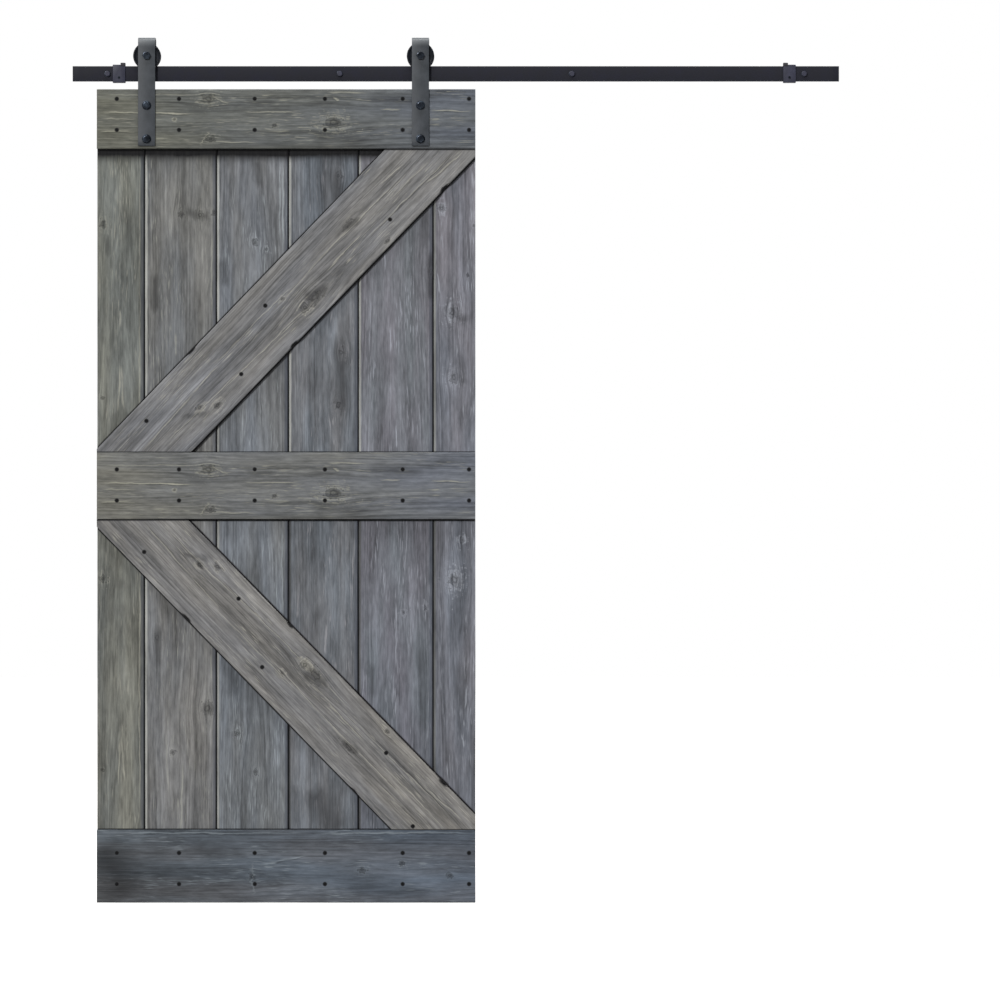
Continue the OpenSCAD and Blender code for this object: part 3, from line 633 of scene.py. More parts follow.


# ---- The boards ----

# Knots as (x from the door's left, z down from its top, radius, stretch along the grain, pale ring);
# pale streaks and dark shades as (x1, z1, x2, z2, width, strength); tone is the stain's middle colour,
# how it drifts over the board, and how it has changed at the board's far end; the pair for a joint's
# right bevel is how pale its painted highlight is, above the middle rail and below it.
BOARDS = {
    "plank_1": dict(
        seed=1.0, pith=60, depth=48, taper=0.03, pale="#a6a498",
        tone=("#6c6c65", (0.93, 0.96, 1.02), (0.89, 0.92, 0.93)),
        knots=[(14, 353, 9, 1.4, 0.8), (14, 809, 5, 1.2, 0.3), (14, 1284, 9, 1.4, 0.8),
               (14, 1786, 5, 1.2, 0.3)],
        shades=[(112, 200, 112, 700, 15, 0.32), (30, 380, 26, 440, 15, 0.27)],
        streaks=[(111, 160, 111, 950, 2.6, 0.55), (111, 1160, 111, 1940, 2.6, 0.5),
                 (60, 722, 54, 850, 3.4, 0.7), (62, 722, 69, 842, 3, 0.6), (60, 575, 61, 625, 3, 0.6),
                 (62, 1694, 55, 1826, 3.4, 0.7), (63, 1694, 70, 1818, 3, 0.6), (58, 1530, 62, 1590, 3, 0.5)]),
    "plank_2": dict(
        seed=2.3, pith=120, depth=70, taper=-0.02, pale="#a3a39a", lit_bevel=(0.9, 0.9),
        tone=("#707173", (1.06, 1.02, 0.96), (0.75, 0.77, 0.76)),
        knots=[(220, 326, 8, 1.3, 0.3), (269, 329, 11, 1.2, 0.5), (302, 322, 8, 1.2, 0.5),
               (289, 1625, 15, 1.3, 0.4), (200, 1740, 8, 1.2, 0.3), (158, 1438, 8, 2.0, 0.1)],
        shades=[(150, 480, 153, 590, 19.5, 0.54), (225, 322, 300, 335, 19.5, 0.49),
                (160, 1400, 156, 1520, 18, 0.54), (275, 1618, 306, 1630, 21, 0.54)],
        streaks=[(204, 640, 206, 700, 3, 0.6), (301, 370, 299, 600, 3.5, 0.6), (131, 180, 130, 700, 3, 0.7),
                 (181, 1690, 186, 1860, 3, 0.5), (226, 1760, 218, 1960, 3.4, 0.6),
                 (298, 1480, 300, 1560, 3, 0.6)]),
    "plank_3": dict(
        seed=3.1, pith=90, depth=55, taper=0.02, pale="#a9b0b4", lit_bevel=(0.9, 0.7),
        tone=("#6a6f75", (1.06, 1.02, 0.96), (0.82, 0.79, 0.78)),
        knots=[(414, 402, 9, 1.2, 0.6), (441, 419, 5, 1.2, 0.9), (368, 1690, 8, 1.3, 0.7),
               (415, 1792, 7, 1.4, 0.2)],
        shades=[(330, 440, 335, 520, 21, 0.43), (420, 180, 425, 260, 18, 0.37),
                (470, 300, 470, 420, 10.5, 0.43), (350, 1500, 352, 1600, 24, 0.37)],
        streaks=[(488, 165, 487, 420, 4, 0.6), (480, 170, 479, 400, 3, 0.5), (497, 160, 497, 440, 2.6, 0.6),
                 (440, 430, 440, 520, 3, 0.5), (318, 180, 319, 560, 3, 0.5),
                 (484, 1140, 486, 1380, 3.6, 0.5)]),
    "plank_4": dict(
        seed=4.7, pith=70, depth=62, taper=-0.025, pale="#a4a2a6", lit_bevel=(0.85, 0.1),
        tone=("#67686b", (0.94, 1.0, 1.05), (0.93, 0.95, 0.97)),
        knots=[(633, 226, 10, 1.5, 0.2), (640, 690, 10, 1.4, 0.3), (633, 828, 10, 1.4, 0.3)],
        shades=[(590, 60, 590, 330, 80, 0.3), (600, 190, 650, 340, 45, 0.49), (628, 640, 650, 860, 27, 0.54),
                (560, 1830, 640, 1960, 72, 0.58), (520, 1820, 522, 1950, 18, 0.43)],
        streaks=[(601, 1405, 599, 1484, 3.4, 0.7), (527, 1320, 525, 1390, 4, 0.4),
                 (674, 1180, 670, 1290, 4, 0.4), (508, 700, 507, 900, 3, 0.5),
                 (664, 1290, 668, 1380, 3, 0.4)]),
    "plank_5": dict(
        seed=5.9, pith=100, depth=75, taper=0.02, pale="#a8abb5", lit_bevel=(0.75, 0.16),
        tone=("#61666e", (1.05, 0.98, 1.0), (1.15, 1.08, 1.0)),
        knots=[(876, 480, 10, 1.6, 0.2), (804, 1373, 5, 1.2, 1.0), (862, 1359, 4, 2.0, 0.9)],
        shades=[(874, 420, 878, 560, 18, 0.54), (860, 250, 862, 420, 15, 0.43),
                (720, 1500, 722, 1600, 24, 0.37), (850, 1450, 860, 1700, 21, 0.37)],
        streaks=[(754, 400, 757, 470, 3.4, 0.6), (768, 620, 771, 690, 3.4, 0.6),
                 (784, 880, 786, 945, 3.4, 0.6), (784, 1340, 785, 1520, 3.4, 0.6),
                 (692, 160, 692, 520, 3, 0.5), (751, 190, 752, 330, 2.6, 0.4)]),
    "plank_6": dict(
        seed=6.4, pith=40, depth=50, taper=-0.03, pale="#aeb2bb", lit_bevel=(0.5, 0.25),
        tone=("#61636a", (0.96, 1.02, 1.05), (1.22, 1.13, 1.1)),
        knots=[(932, 586, 13, 1.4, 0.8), (937, 757, 12, 1.3, 0.6), (905, 312, 9, 1.4, 0.6),
               (987, 356, 4, 1.2, 0.2), (971, 487, 5, 1.3, 0.2), (938, 1288, 15, 1.3, 0.8),
               (958, 1183, 7, 1.2, 0.9)],
        shades=[(915, 575, 975, 610, 24, 0.43), (930, 740, 970, 775, 18, 0.37),
                (950, 1500, 960, 1640, 27, 0.32), (930, 1280, 960, 1300, 24, 0.37)],
        streaks=[(893, 480, 900, 540, 3, 0.5), (973, 1570, 966, 1620, 3, 0.7),
                 (958, 1690, 962, 1730, 3, 0.6)]),
    "top_rail": dict(
        seed=7.2, pith=90, depth=60, taper=0.012, pale="#a8a696",
        tone=("#5e5f58", (1.06, 1.03, 0.94), (0.74, 0.81, 1.14)),
        knots=[(292, 25, 13, 1.5, 0.7), (620, 87, 15, 1.7, 0.9), (204, 77, 4, 1.2, 0.9),
               (298, 128, 9, 1.6, 0.4), (466, 94, 6, 1.4, 0.3)],
        shades=[(560, 120, 720, 140, 21, 0.37), (390, 30, 470, 36, 13.5, 0.37), (700, 20, 860, 40, 21, 0.32),
                (0, 148, 993, 150, 10.5, 0.32)],
        streaks=[(5, 60, 262, 64, 2.6, 0.8), (12, 77, 100, 79, 2.4, 0.5), (8, 110, 90, 111, 2.4, 0.5),
                 (380, 59, 530, 60, 3, 0.6), (20, 15, 260, 14, 2.4, 0.4), (270, 150, 300, 110, 3, 0.5),
                 (740, 53, 800, 54, 2.6, 0.5), (880, 56, 980, 57, 2.4, 0.6), (300, 10, 340, 40, 4, 0.5),
                 (600, 8, 700, 9, 2.4, 0.5), (620, 22, 640, 30, 4, 0.6), (300, 136, 420, 140, 3, 0.5)]),
    "bottom_rail": dict(
        seed=8.8, pith=60, depth=85, taper=0.015, pale="#8e979d",
        tone=("#515356", (0.92, 1.0, 1.06), (0.9, 0.97, 1.1)),
        knots=[(408, 2066, 8, 1.2, 0.3), (696, 2048, 8, 1.5, 0.5), (800, 2030, 7, 1.3, 0.4),
               (925, 2062, 7, 1.4, 0.2)],
        shades=[(0, 1975, 90, 2120, 90, 0.65), (240, 1990, 400, 2010, 30, 0.37),
                (640, 2090, 900, 2110, 30, 0.32)],
        streaks=[(430, 2035, 560, 2008, 4, 0.5), (20, 1950, 560, 1953, 3, 0.5),
                 (404, 2025, 413, 2116, 4, 0.55), (560, 1952, 985, 1950, 4, 0.5),
                 (100, 2078, 420, 2074, 3, 0.3)]),
    "brace_upper": dict(
        seed=9.5, pith=80, depth=95, taper=0.004, pale="#b1aea2",
        tone=("#6c6d70", (1.05, 1.02, 0.96), (1.02, 1.0, 0.97)),
        knots=[(571, 546, 15, 2.2, 0.2), (489, 553, 5, 1.5, 0.9), (545, 572, 7, 2.0, 0.9),
               (663, 356, 8, 3.0, 0.2), (761, 396, 6, 1.4, 0.6), (269, 835, 7, 1.6, 0.9),
               (315, 828, 8, 1.6, 0.8)],
        shades=[(540, 548, 610, 520, 24, 0.54), (640, 372, 690, 340, 13.5, 0.54),
                (330, 700, 420, 600, 18, 0.27), (220, 860, 300, 850, 12, 0.43)],
        streaks=[(600, 480, 700, 372, 3, 0.6), (455, 590, 690, 330, 2.6, 0.4), (760, 300, 880, 178, 3, 0.5),
                 (860, 250, 960, 165, 3, 0.5), (250, 800, 320, 722, 3, 0.5), (120, 950, 260, 790, 3, 0.5),
                 (745, 252, 800, 200, 3, 0.5), (560, 470, 800, 228, 2.2, 0.5), (700, 400, 930, 172, 2.2, 0.5),
                 (300, 730, 520, 508, 2.2, 0.5), (330, 790, 560, 562, 2.2, 0.5),
                 (180, 930, 380, 735, 2.2, 0.5)]),
}
BOARDS["mid_rail"] = dict(BOARDS["top_rail"], tone=("#6b6b67", (1.06, 1.03, 0.94), (0.76, 0.83, 1.07)))
BOARDS["brace_lower"] = dict(BOARDS["brace_upper"], pith=-80,
                             tone=("#707071", (1.05, 1.02, 0.96), (1.02, 1.0, 0.97)))
# The middle rail shows the top rail's marks, this far down
MID_RAIL_SHIFT = 972.0
# The lower brace is cut from a twin of the upper one and turned over, about the middle rail
TURN_OVER = 2082.0

# Chips in the braces' edges, their hollows painted dark with shade, as (x from the door's left, z down from
# its top, length, bite)
CHIPS = {"brace_upper": [(256, 694, 34, 5.0), (519, 671, 30, 5.5), (912, 261, 34, 6.0)],
         "brace_lower": [(237, 1386, 36, 5.5), (505, 1409, 28, 5.0), (905, 1822, 34, 7.0),
                         (676, 1838, 26, 3.0)]}

# How far across a brace its second long edge lies
FAR_EDGE = {"brace_upper": -BRACE_WIDTH, "brace_lower": BRACE_WIDTH}
# Sharpness that leaves a line whole up to its ends
WHOLE = 10000.0
# How far lines along the boards' edges run past the door's sides
PAST = 20


def chip_places(node):
    """A brace's chips, as (place along it, its edge across, length, bite)."""
    (_, _, bottom), turn, _ = BRACES[node]
    far, made = FAR_EDGE[node], []
    for x, z, length, bite in CHIPS[node]:
        up = DOOR_TOP - z - bottom
        along, across = x * math.cos(turn) + up * math.sin(turn), up * math.cos(turn) - x * math.sin(turn)
        made.append((along, 0.0 if abs(across) < abs(across - far) else far, length, bite))
    return made


def brace_line(node, start, stop, across, *look):
    """A line along a brace, from the door's left and down from its top."""
    (_, _, bottom), turn, _ = BRACES[node]
    ends = []
    for u in (start, stop):
        ends += [u * math.cos(turn) - across * math.sin(turn),
                 DOOR_TOP - bottom - u * math.sin(turn) - across * math.cos(turn)]
    return (*ends, *look)


def brace_shade_lines(node):
    """Painted shade: dark lines along a brace's two long edges, only within its panel, and round its chips.
    """
    (_, _, bottom), turn, _ = BRACES[node]
    low, high = span(node)
    lines = []
    for v in (0.0, FAR_EDGE[node]):
        start, stop = ((z - bottom - v * math.cos(turn)) / math.sin(turn) for z in (low[2] - 6, high[2] + 6))
        lines.append(brace_line(node, start, stop, v, 6.5, 1.7))
    return lines + [brace_line(node, along - length * 0.4, along + length * 0.4, edge, bite * 0.5 + 4, 1.8)
                    for along, edge, length, bite in chip_places(node)]


def rail_lines(node, over, under):
    """Lines of that width and strength along a rail's upper and lower edges."""
    low, high = span(node)
    return [(-PAST, DOOR_TOP - z, DOOR_WIDTH + PAST, DOOR_TOP - z, *line)
            for z, line in ((high[2], over), (low[2], under)) if line]


# Painted shade, with stain pooled in the corner, makes a dark line beside every covering board; a painted
# shadow lies in a soft band under the top rail
SHADE_BESIDE_COVERS = (rail_lines("top_rail", None, (7.0, 1.8)) + rail_lines("mid_rail", (4.5, 1.1), (7.5, 1.8))
           + rail_lines("bottom_rail", (4.5, 1.2), None) + [(-PAST, 157, DOOR_WIDTH + PAST, 157, 38, 1.5)]
           + brace_shade_lines("brace_upper") + brace_shade_lines("brace_lower"))
# Painted shade: a dark line across each brace's ends where it meets the rails
BRACE_END_SHADE = {node: rail_lines(over, None, (6.5, 1.8)) + rail_lines(under, (4.0, 1.0), None)
              for node, over, under in (("brace_upper", "top_rail", "mid_rail"),
                                        ("brace_lower", "mid_rail", "bottom_rail"))}


def plank_outline(x1, x2, groove, tongue):
    """A plank's section as (x, y): groove on the left, tongue on the right, V-joints in front."""
    middle, half = (PLANK_FRONT + DOOR_BACK) / 2, TONGUE_THICK / 2
    wide, deep = half + GROOVE_PLAY, TONGUE + 1
    left = ([(x1, DOOR_BACK), (x1, middle + wide), (x1 + deep, middle + wide), (x1 + deep, middle - wide),
             (x1, middle - wide), (x1, PLANK_FRONT + V_JOINT), (x1 + V_JOINT, PLANK_FRONT)] if groove
            else [(x1, DOOR_BACK), (x1, PLANK_FRONT)])
    tip = x2 + TONGUE
    right = ([(x2 - V_JOINT, PLANK_FRONT), (x2, PLANK_FRONT + V_JOINT), (x2, middle - half),
              (tip, middle - half), (tip, middle + half), (x2, middle + half), (x2, DOOR_BACK)]
             if tongue else [(x2, PLANK_FRONT), (x2, DOOR_BACK)])
    return left + right


def spaced(outline, fine=4.0, coarse=13.0):
    """Adds points to an outline of (across, into): close together along its front face."""
    made = []
    for i, (v, w) in enumerate(outline):
        v2, w2 = outline[(i + 1) % len(outline)]
        gap = fine if max(w, w2) < 0.1 else coarse
        count = max(1, round(math.hypot(v2 - v, w2 - w) / gap))
        made += [(v + (v2 - v) * k / count, w + (w2 - w) * k / count) for k in range(count)]
    return made


def relief_tree(name, board):
    """Raises a board's late wood and knots and lets its soft wood sink, as brushing does.

    Relief is the rise in millimetres from the softest wood to the hardest; a height of 0.8 stays level.
    """
    tree, put, inp, end = group(name, GEOMETRY, {**MESH, "Relief": ("Float", 0.5)}, MESH)
    flat = dict(board, streaks=[], shades=[])
    out = board_pattern(put, GEOMETRY, put("GeometryNodeInputPosition"), flat)[0]
    rise = put(TIMES, put(MINUS, out["Height"], 0.8), inp["Relief"])
    push = put(V_SCALE, put("GeometryNodeInputNormal"), rise)
    fill(end, {"Geometry": put("GeometryNodeSetPosition", {"Geometry": inp["Geometry"], "Offset": push})})
    return tree


def screw_hole(x, z):
    """A countersunk hole's cutter, a little wider than the screw and opened at the mouth."""
    head, shank, cone = HEAD / 2 + 0.12, SHANK / 2 + 0.05, (HEAD - SHANK) / 2
    outline = [(0, -2), (head + 0.35, -2), (head + 0.35, -0.2), (head, 0.35), (head, SINK),
               (shank, SINK + cone), (shank, 31), (0, 31)]
    return turned(outline, 20, (x, DOOR_FRONT, z))


holes = mesh_of("holes", joined(
    [screw_hole(x, z) for places in SCREWS.values() for x, z in places]
    + [bore(BOLT_HOLE / 2, -3, 38, 32, (x, DOOR_FRONT, z)) for x in HANGERS.values() for z in STRAP_BOLT_Z]))
holes.transform(Matrix.Scale(MM, 4))
hole_cutter = helper("hole_cutter", holes)


def plank_frame(node, low, high):
    """A plank's origin, turn, start, stop, section, corner radii and joints."""
    number = int(node[-1])
    groove, tongue = number > 1, number < 6
    right = high[0] - (TONGUE if tongue else 0)
    outline = [(right - x, y - PLANK_FRONT) for x, y in plank_outline(low[0], right, groove, tongue)]
    corners = [0.8 if w < 0.1 or w > high[1] - PLANK_FRONT - 0.1 else 0.3 for v, w in outline]
    joints = [(0.0, None)] if tongue else []
    if groove:
        joints.append((right - low[0], BOARDS[node]["lit_bevel"]))
    return (right, PLANK_FRONT, low[2]), math.pi / 2, 0.0, high[2] - low[2], outline, corners, joints


def covering_frame(node, low, high):
    """The same of a rail or a brace, which has no joints."""
    if node in BRACES:
        origin, turn, _ = BRACES[node]
        v1, v2 = sorted((0.0, FAR_EDGE[node]))
        start, stop = -2 * BRACE_WIDTH, math.hypot(high[0] - low[0], high[2] - low[2]) + BRACE_WIDTH
    else:
        origin, turn, v1, v2 = (low[0], DOOR_FRONT, low[2]), 0.0, 0.0, high[2] - low[2]
        start, stop = 0.0, high[0] - low[0]
    thick, bevel = PLANK_FRONT - DOOR_FRONT, 1.2
    outline = [(v1, thick), (v2, thick), (v2, bevel), (v2 - bevel, 0), (v1 + bevel, 0), (v1, bevel)]
    return origin, turn, start, stop, outline, [0.4, 0.4, 0.8, 0.8, 0.8, 0.8], []


def mark(node, board, inverse):
    """Brings a board's marks to its own axes, and adds the painted shade that other boards cast on it, as
    dark lines.
    """

    def local(x, z, own=True):
        """A place from the door's left and down from its top, along and across the board."""
        if own and node == "mid_rail":
            z += MID_RAIL_SHIFT
        if own and node == "brace_lower":
            z = TURN_OVER - z
        p = inverse @ Vector(((DOOR_LEFT + x) * MM, board["origin"][1], (DOOR_TOP - z) * MM))
        return Vector((p[0], 0, p[2]))

    def lines(table, own=True):
        """A table of lines, each with its start and its reach; other boards' lines keep their ends whole."""
        return [(local(x1, z1, own), local(x2, z2, own) - local(x1, z1, own), width, strength,
                 None if own else WHOLE) for x1, z1, x2, z2, width, strength in table]

    plank = node.startswith("plank")
    # A fine dark line lies under each long pale streak of a rail or a brace
    beneath = [] if plank else [
        (x1, z1 + 3.4, x2, z2 + 3.4, 2.4, 0.5 * strength + 0.05)
        for x1, z1, x2, z2, width, strength in board["streaks"] if strength > 0.45]
    board["knots"] = [(local(x, z), radius, stretch, pale) for x, z, radius, stretch, pale in board["knots"]]
    board["streaks"] = lines(board["streaks"])
    board["shades"] = (lines(board["shades"] + beneath)
                       + lines(SHADE_BESIDE_COVERS if plank else BRACE_END_SHADE.get(node, []), False))
    board["screws"] = [local(x - DOOR_LEFT, DOOR_TOP - z, False) for x, z in SCREWS.get(node, [])]
    # Painted shade darkens each chip's hollow
    if node in CHIPS:
        board["shades"] += [
            (Vector((along - length * 0.45, 0, edge)), Vector((length * 0.9, 0, 0)), bite * 1.35, 1.7, 1.0)
            for along, edge, length, bite in chip_places(node)]


def bitten(node, points):
    """Bites a brace's chips into its edges; its points are along, into and across.

    A bite fades over 0.42 of its length along the edge, 9 mm across the board and 14 mm into it.
    """
    arranged = np.array(points, float)
    for along, edge, length, bite in chip_places(node):
        inwards = -1 if edge == max(0.0, FAR_EDGE[node]) else 1
        near = np.exp(-((arranged[:, 0] - along) / (length * 0.42)) ** 2) * np.clip(
            1 - np.abs(arranged[:, 2] - edge) / 9, 0, 1) * np.clip(1.1 - arranged[:, 1] / 14, 0, 1)
        wobble = 1 + 0.35 * np.sin(arranged[:, 0] * 0.41) * np.sin(arranged[:, 1] * 0.9 + 1)
        arranged[:, 2] += inwards * bite * near * wobble
    return arranged


def make_board(node):
    """A board with its section, brushed relief, chips, holes and finish."""
    board = dict(BOARDS[node])
    low, high = span(node)
    plank = node.startswith("plank")
    origin, turn, start, stop, outline, corners, board["joints"] = (
        plank_frame if plank else covering_frame)(node, low, high)
    board.update(origin=[v * MM for v in origin], turn=turn, length=stop - start)
    matrix = Matrix.LocRotScale(Vector(board["origin"]), Euler((0, -turn, 0)), Vector((MM, MM, MM)))
    mark(node, board, matrix.inverted())
    section = spaced(eased(outline, corners))
    step = 8.0
    rows = np.linspace(start, stop, round((stop - start) / step) + 1)
    points, faces = loft([[(u, w, v) for v, w in section] for u in rows])
    if node in CHIPS:
        points = bitten(node, points)
    mesh = modified(mesh_of(node, (points, faces)), "NODES", {"Relief": 0.5},
                    node_group=relief_tree("relief " + node, board))
    mesh.transform(matrix)
    if node in BRACES:
        # A brace is cut to the panel between its rails
        panel = block((low[0], high[0]), (DOOR_FRONT - 3, PLANK_FRONT + 3), (low[2], high[2]))
        panel.transform(Matrix.Scale(MM, 4))
        mesh = cut(mesh, helper("panel", panel), operation="INTERSECT")
    mesh = cut(mesh, hole_cutter)
    smoothed(mesh)
    finish = stained_pine("grey_stained_pine_" + node, board)
    settle(node + "_board", mesh, "door", [node], finish, scale=1)


for node in BOARDS:
    make_board(node)


# ---- Geometry Nodes for what repeats ----

def set_at_points(put, inp, end, part):
    """Ends a tree: the part at each point, turned about its axis by chance, in its material."""
    chance = put("FunctionNodeRandomValue", {"Min": 0.0, "Max": inp["Turn"], "Seed": inp["Seed"]},
                 data_type="FLOAT")
    spin = put("FunctionNodeEulerToRotation", put(JOIN, None, chance))
    placed = put("GeometryNodeInstanceOnPoints", {
        "Points": put("GeometryNodeMeshToPoints", inp["Geometry"]), "Instance": part, "Rotation": spin})
    real = put("GeometryNodeRealizeInstances", placed)
    fill(end, {"Geometry": put("GeometryNodeSetMaterial", {"Geometry": real, "Material": inp["Material"]})})


def placed_part_tree():
    """A finished part at each point."""
    tree, put, inp, end = group("part at each point", GEOMETRY, {
        **MESH, "Part": ("Object", None), "Turn": FLOAT, "Seed": ("Int", 0),
        "Material": ("Material", None)}, MESH)
    part = put("GeometryNodeObjectInfo", {"Object": inp["Part"]})
    set_at_points(put, inp, end, part.outputs["Geometry"])
    return tree


def fastener_tree():
    """A head with a threaded shank at each point."""
    tree, put, inp, end = group("threaded fasteners", GEOMETRY, {
        **MESH, "Head": ("Object", None), "Start": FLOAT, "Length": ("Float", 30.0),
        "Diameter": ("Float", 4.0), "Plain Length": ("Float", 8.0), "Pitch": ("Float", 1.6),
        "Thread Depth": ("Float", 0.4), "Tip": ("Float", 5.0), "Tip Share": ("Float", 0.9),
        "Around": ("Int", 12), "Rows In Pitch": ("Float", 4.0), "Turn": ("Float", 6.283), "Seed": ("Int", 0),
        "Material": ("Material", None)}, MESH)
    rows = put(TIMES, put(OVER, inp["Length"], inp["Pitch"]), inp["Rows In Pitch"])
    grid = put("GeometryNodeMeshGrid", 1.0, 1.0, put(PLUS, inp["Around"], 1.0), put(PLUS, rows, 3.0))
    place = put(SPLIT, put("GeometryNodeInputPosition"))
    round_share, row_share = put(PLUS, place.outputs[0], 0.5), put(PLUS, place.outputs[1], 0.5)
    # One row more at each end, drawn in to the axis, closes the shank
    row_length = put(OVER, inp["Length"], rows)
    full = put(TIMES_PLUS, row_length, 2.0, inp["Length"])
    stretched = put(MINUS, put(TIMES, row_share, full), row_length)
    along = put(LOWEST, put(HIGHEST, stretched, 0.0), inp["Length"])
    inner = put(BELOW, put(SIZE_OF, place.outputs[1]), 0.49999)
    # The thread winds in after the plain length and over one pitch
    phase = put(FRACTION, put(MINUS, put(OVER, along, inp["Pitch"]), round_share))
    valley = put(SIZE_OF, put(TIMES_PLUS, phase, 2.0, -1.0))
    full_depth = put(PLUS, inp["Plain Length"], inp["Pitch"])
    depth = put(RANGE, along, inp["Plain Length"], full_depth, 0.0, inp["Thread Depth"])
    radius = put(MINUS, put(TIMES, inp["Diameter"], 0.5), put(TIMES, valley, depth))
    left = put(OVER, put(MINUS, inp["Length"], along), inp["Tip"], use_clamp=True)
    narrow = put(TIMES, put(TIMES_PLUS, left, -1.0, 1.0), inp["Tip Share"])
    final = put(TIMES, put(TIMES, radius, put(MINUS, 1.0, narrow)), inner)
    angle = put(TIMES, round_share, 2 * math.pi)
    spot = put(JOIN, put(TIMES, final, put(COSINE, angle)), put(PLUS, along, inp["Start"]),
               put(TIMES, final, put(SINE, angle)))
    shank = put("GeometryNodeSetPosition", {"Geometry": grid, "Position": spot})
    shank = put("GeometryNodeMergeByDistance", {"Geometry": shank, "Distance": 0.0005})
    head = put("GeometryNodeObjectInfo", {"Object": inp["Head"]})
    whole = put("GeometryNodeJoinGeometry")
    for part in (shank.outputs[0], head.outputs["Geometry"]):
        plug(whole.inputs[0], part)
    set_at_points(put, inp, end, whole)
    return tree


PART_TREE, FASTENER_TREE = placed_part_tree(), fastener_tree()


def set_out(name, places, tree, nodes, body="door", slot="black_hardware", **inputs):
    """Runs places through a tree, its inputs named in lower case, and settles the result as one piece."""
    points = bpy.data.meshes.new("places")
    points.from_pydata(places, [], [])
    inputs = {key.replace("_", " ").title(): value for key, value in inputs.items()}
    mesh = modified(points, "NODES", inputs, node_group=tree)
    tidy(mesh)
    settle(name, mesh, body, nodes)


# ---- Fasteners ----

def hexagon_head(flats, height, bore=0.0, both=False):
    """A hexagon with rounded corners and a turned 30 degree chamfer, from y = -height to 0."""
    around, fall = 72, 0.577
    reach, chamfer = flats / 2 / math.cos(math.pi / 6) * 0.992, flats / 2 * 0.94
    rings = []
    for i in range(around):
        angle = 2 * math.pi * i / around
        side = (angle % (math.pi / 3)) - math.pi / 6
        out = min(flats / 2 / math.cos(side), reach)
        drop = max(0.0, out - chamfer) * fall
        ring = [(bore, -height), (chamfer * 0.8, -height), (chamfer, -height),
                ((chamfer + out) / 2, -height + drop / 2), (out - 0.12, -height + drop - 0.06),
                (out, -height + drop + 0.12)]
        ring += ([(out, -drop - 0.12), (out - 0.12, -drop + 0.06), (chamfer, 0), (bore, 0)] if both
                 else [(out, -0.3), (out - 0.3, 0), (chamfer * 0.7, 0), (bore, 0)])
        rings.append([(r * math.cos(angle), y, r * math.sin(angle)) for r, y in ring])
    return loft(rings, closed=True)


def ring_shape(outside, inside, thick, ease=0.3):
    """A washer or a tube from y = 0 to its thickness, its edges eased."""
    return turned(eased(corners_of(inside / 2, outside / 2, 0, thick), ease), 64)


def screw_head():
    """A countersunk head with a cross recess, its face on y = 0."""
    r, shank = HEAD / 2, SHANK / 2
    cone = r - shank
    outline = [(0, 0), (r - 0.25, 0), (r, 0.12), (r, 0.25), (shank, cone + 0.25), (0, cone + 0.25)]
    arm, half, deep = 2.3, 0.5, 1.5
    arms = []
    for crossed in (False, True):
        rings = [[(x, y, z) for x, z in corners_of(-long, long, -wide, wide)]
                 for y, long, wide in ((-1, arm, half), (deep, arm * 0.55, half * 0.7))]
        arms.append(helper("cross", loft([[(z, y, x) if crossed else (x, y, z) for x, y, z in ring]
                                          for ring in rings])))
    return cut(mesh_of("screw_head", turned(outline, 28)), *arms, solver="EXACT")


wood_head = helper("wood_head", screw_head())
set_out("wood_screws", [(x, DOOR_FRONT + SINK, z) for places in SCREWS.values() for x, z in places],
        FASTENER_TREE, [node + "_screws" for node in SCREWS], head=wood_head, start=2.0,
        length=SCREW_LENGTH - 2.5, diameter=SHANK, plain_length=7.0, pitch=1.8, thread_depth=0.55, tip=6.0,
        tip_share=0.96, around=12, seed=11, material=phosphate)


# ---- Track: bar, spacers, washers, wall screws and stops ----

def bar_mesh():
    """The flat bar with eased edges and ends and its four holes."""
    (left, front, under), (right, back, over) = BAR_LOW, BAR_HIGH
    ends = ((0.0, 0.6), (0.2, 0.2), (0.6, 0.0))
    rows = ([(left + x, inset) for x, inset in ends]
            + [(x, 0) for x in np.linspace(left + 20, right - 20, 60)]
            + [(right - x, inset) for x, inset in ends[::-1]])
    bar = mesh_of("bar", loft([[(x, y, z) for y, z in eased(
        corners_of(front + inset, back - inset, under + inset, over - inset), 0.8)] for x, inset in rows]))
    drill = joined([bore(BAR_HOLE / 2, -5, 12, 32, (x, front, 0)) for x in WALL_X])
    bar = cut(bar, helper("bar_holes", drill))
    tidy(bar)
    return bar


settle("track_bar_coated", bar_mesh(), "track", ["track_bar"], track_coat)
spacer = helper("spacer", ring_shape(19, 9, -BAR_HIGH[1], 0.5))
set_out("wall_spacer_tubes", [(x, BAR_HIGH[1], 0) for x in WALL_X], PART_TREE, ["wall_spacers"],
        "track", "track", part=spacer, material=track_coat)
wall_head = helper("wall_head", hexagon_head(13, 5.3))
wall_seats = [(x, BAR_LOW[1] - WALL_WASHER, 0) for x in WALL_X]
set_out("wall_lag_screws", wall_seats, FASTENER_TREE, ["wall_screws"], "track", head=wall_head,
        start=-IN_WALL_HEAD, length=WALL_DEPTH - wall_seats[0][1] + IN_WALL_HEAD, diameter=WALL_SCREW,
        plain_length=46.0, pitch=3.4, thread_depth=1.1, tip=9.0, tip_share=0.95, around=24, seed=5, turn=1.0,
        material=stop_coat)
wall_washer = helper("wall_washer", ring_shape(16, 8.4, WALL_WASHER))
set_out("wall_flat_washers", wall_seats, PART_TREE, ["wall_washers"], "track", part=wall_washer,
        material=black_oxide)


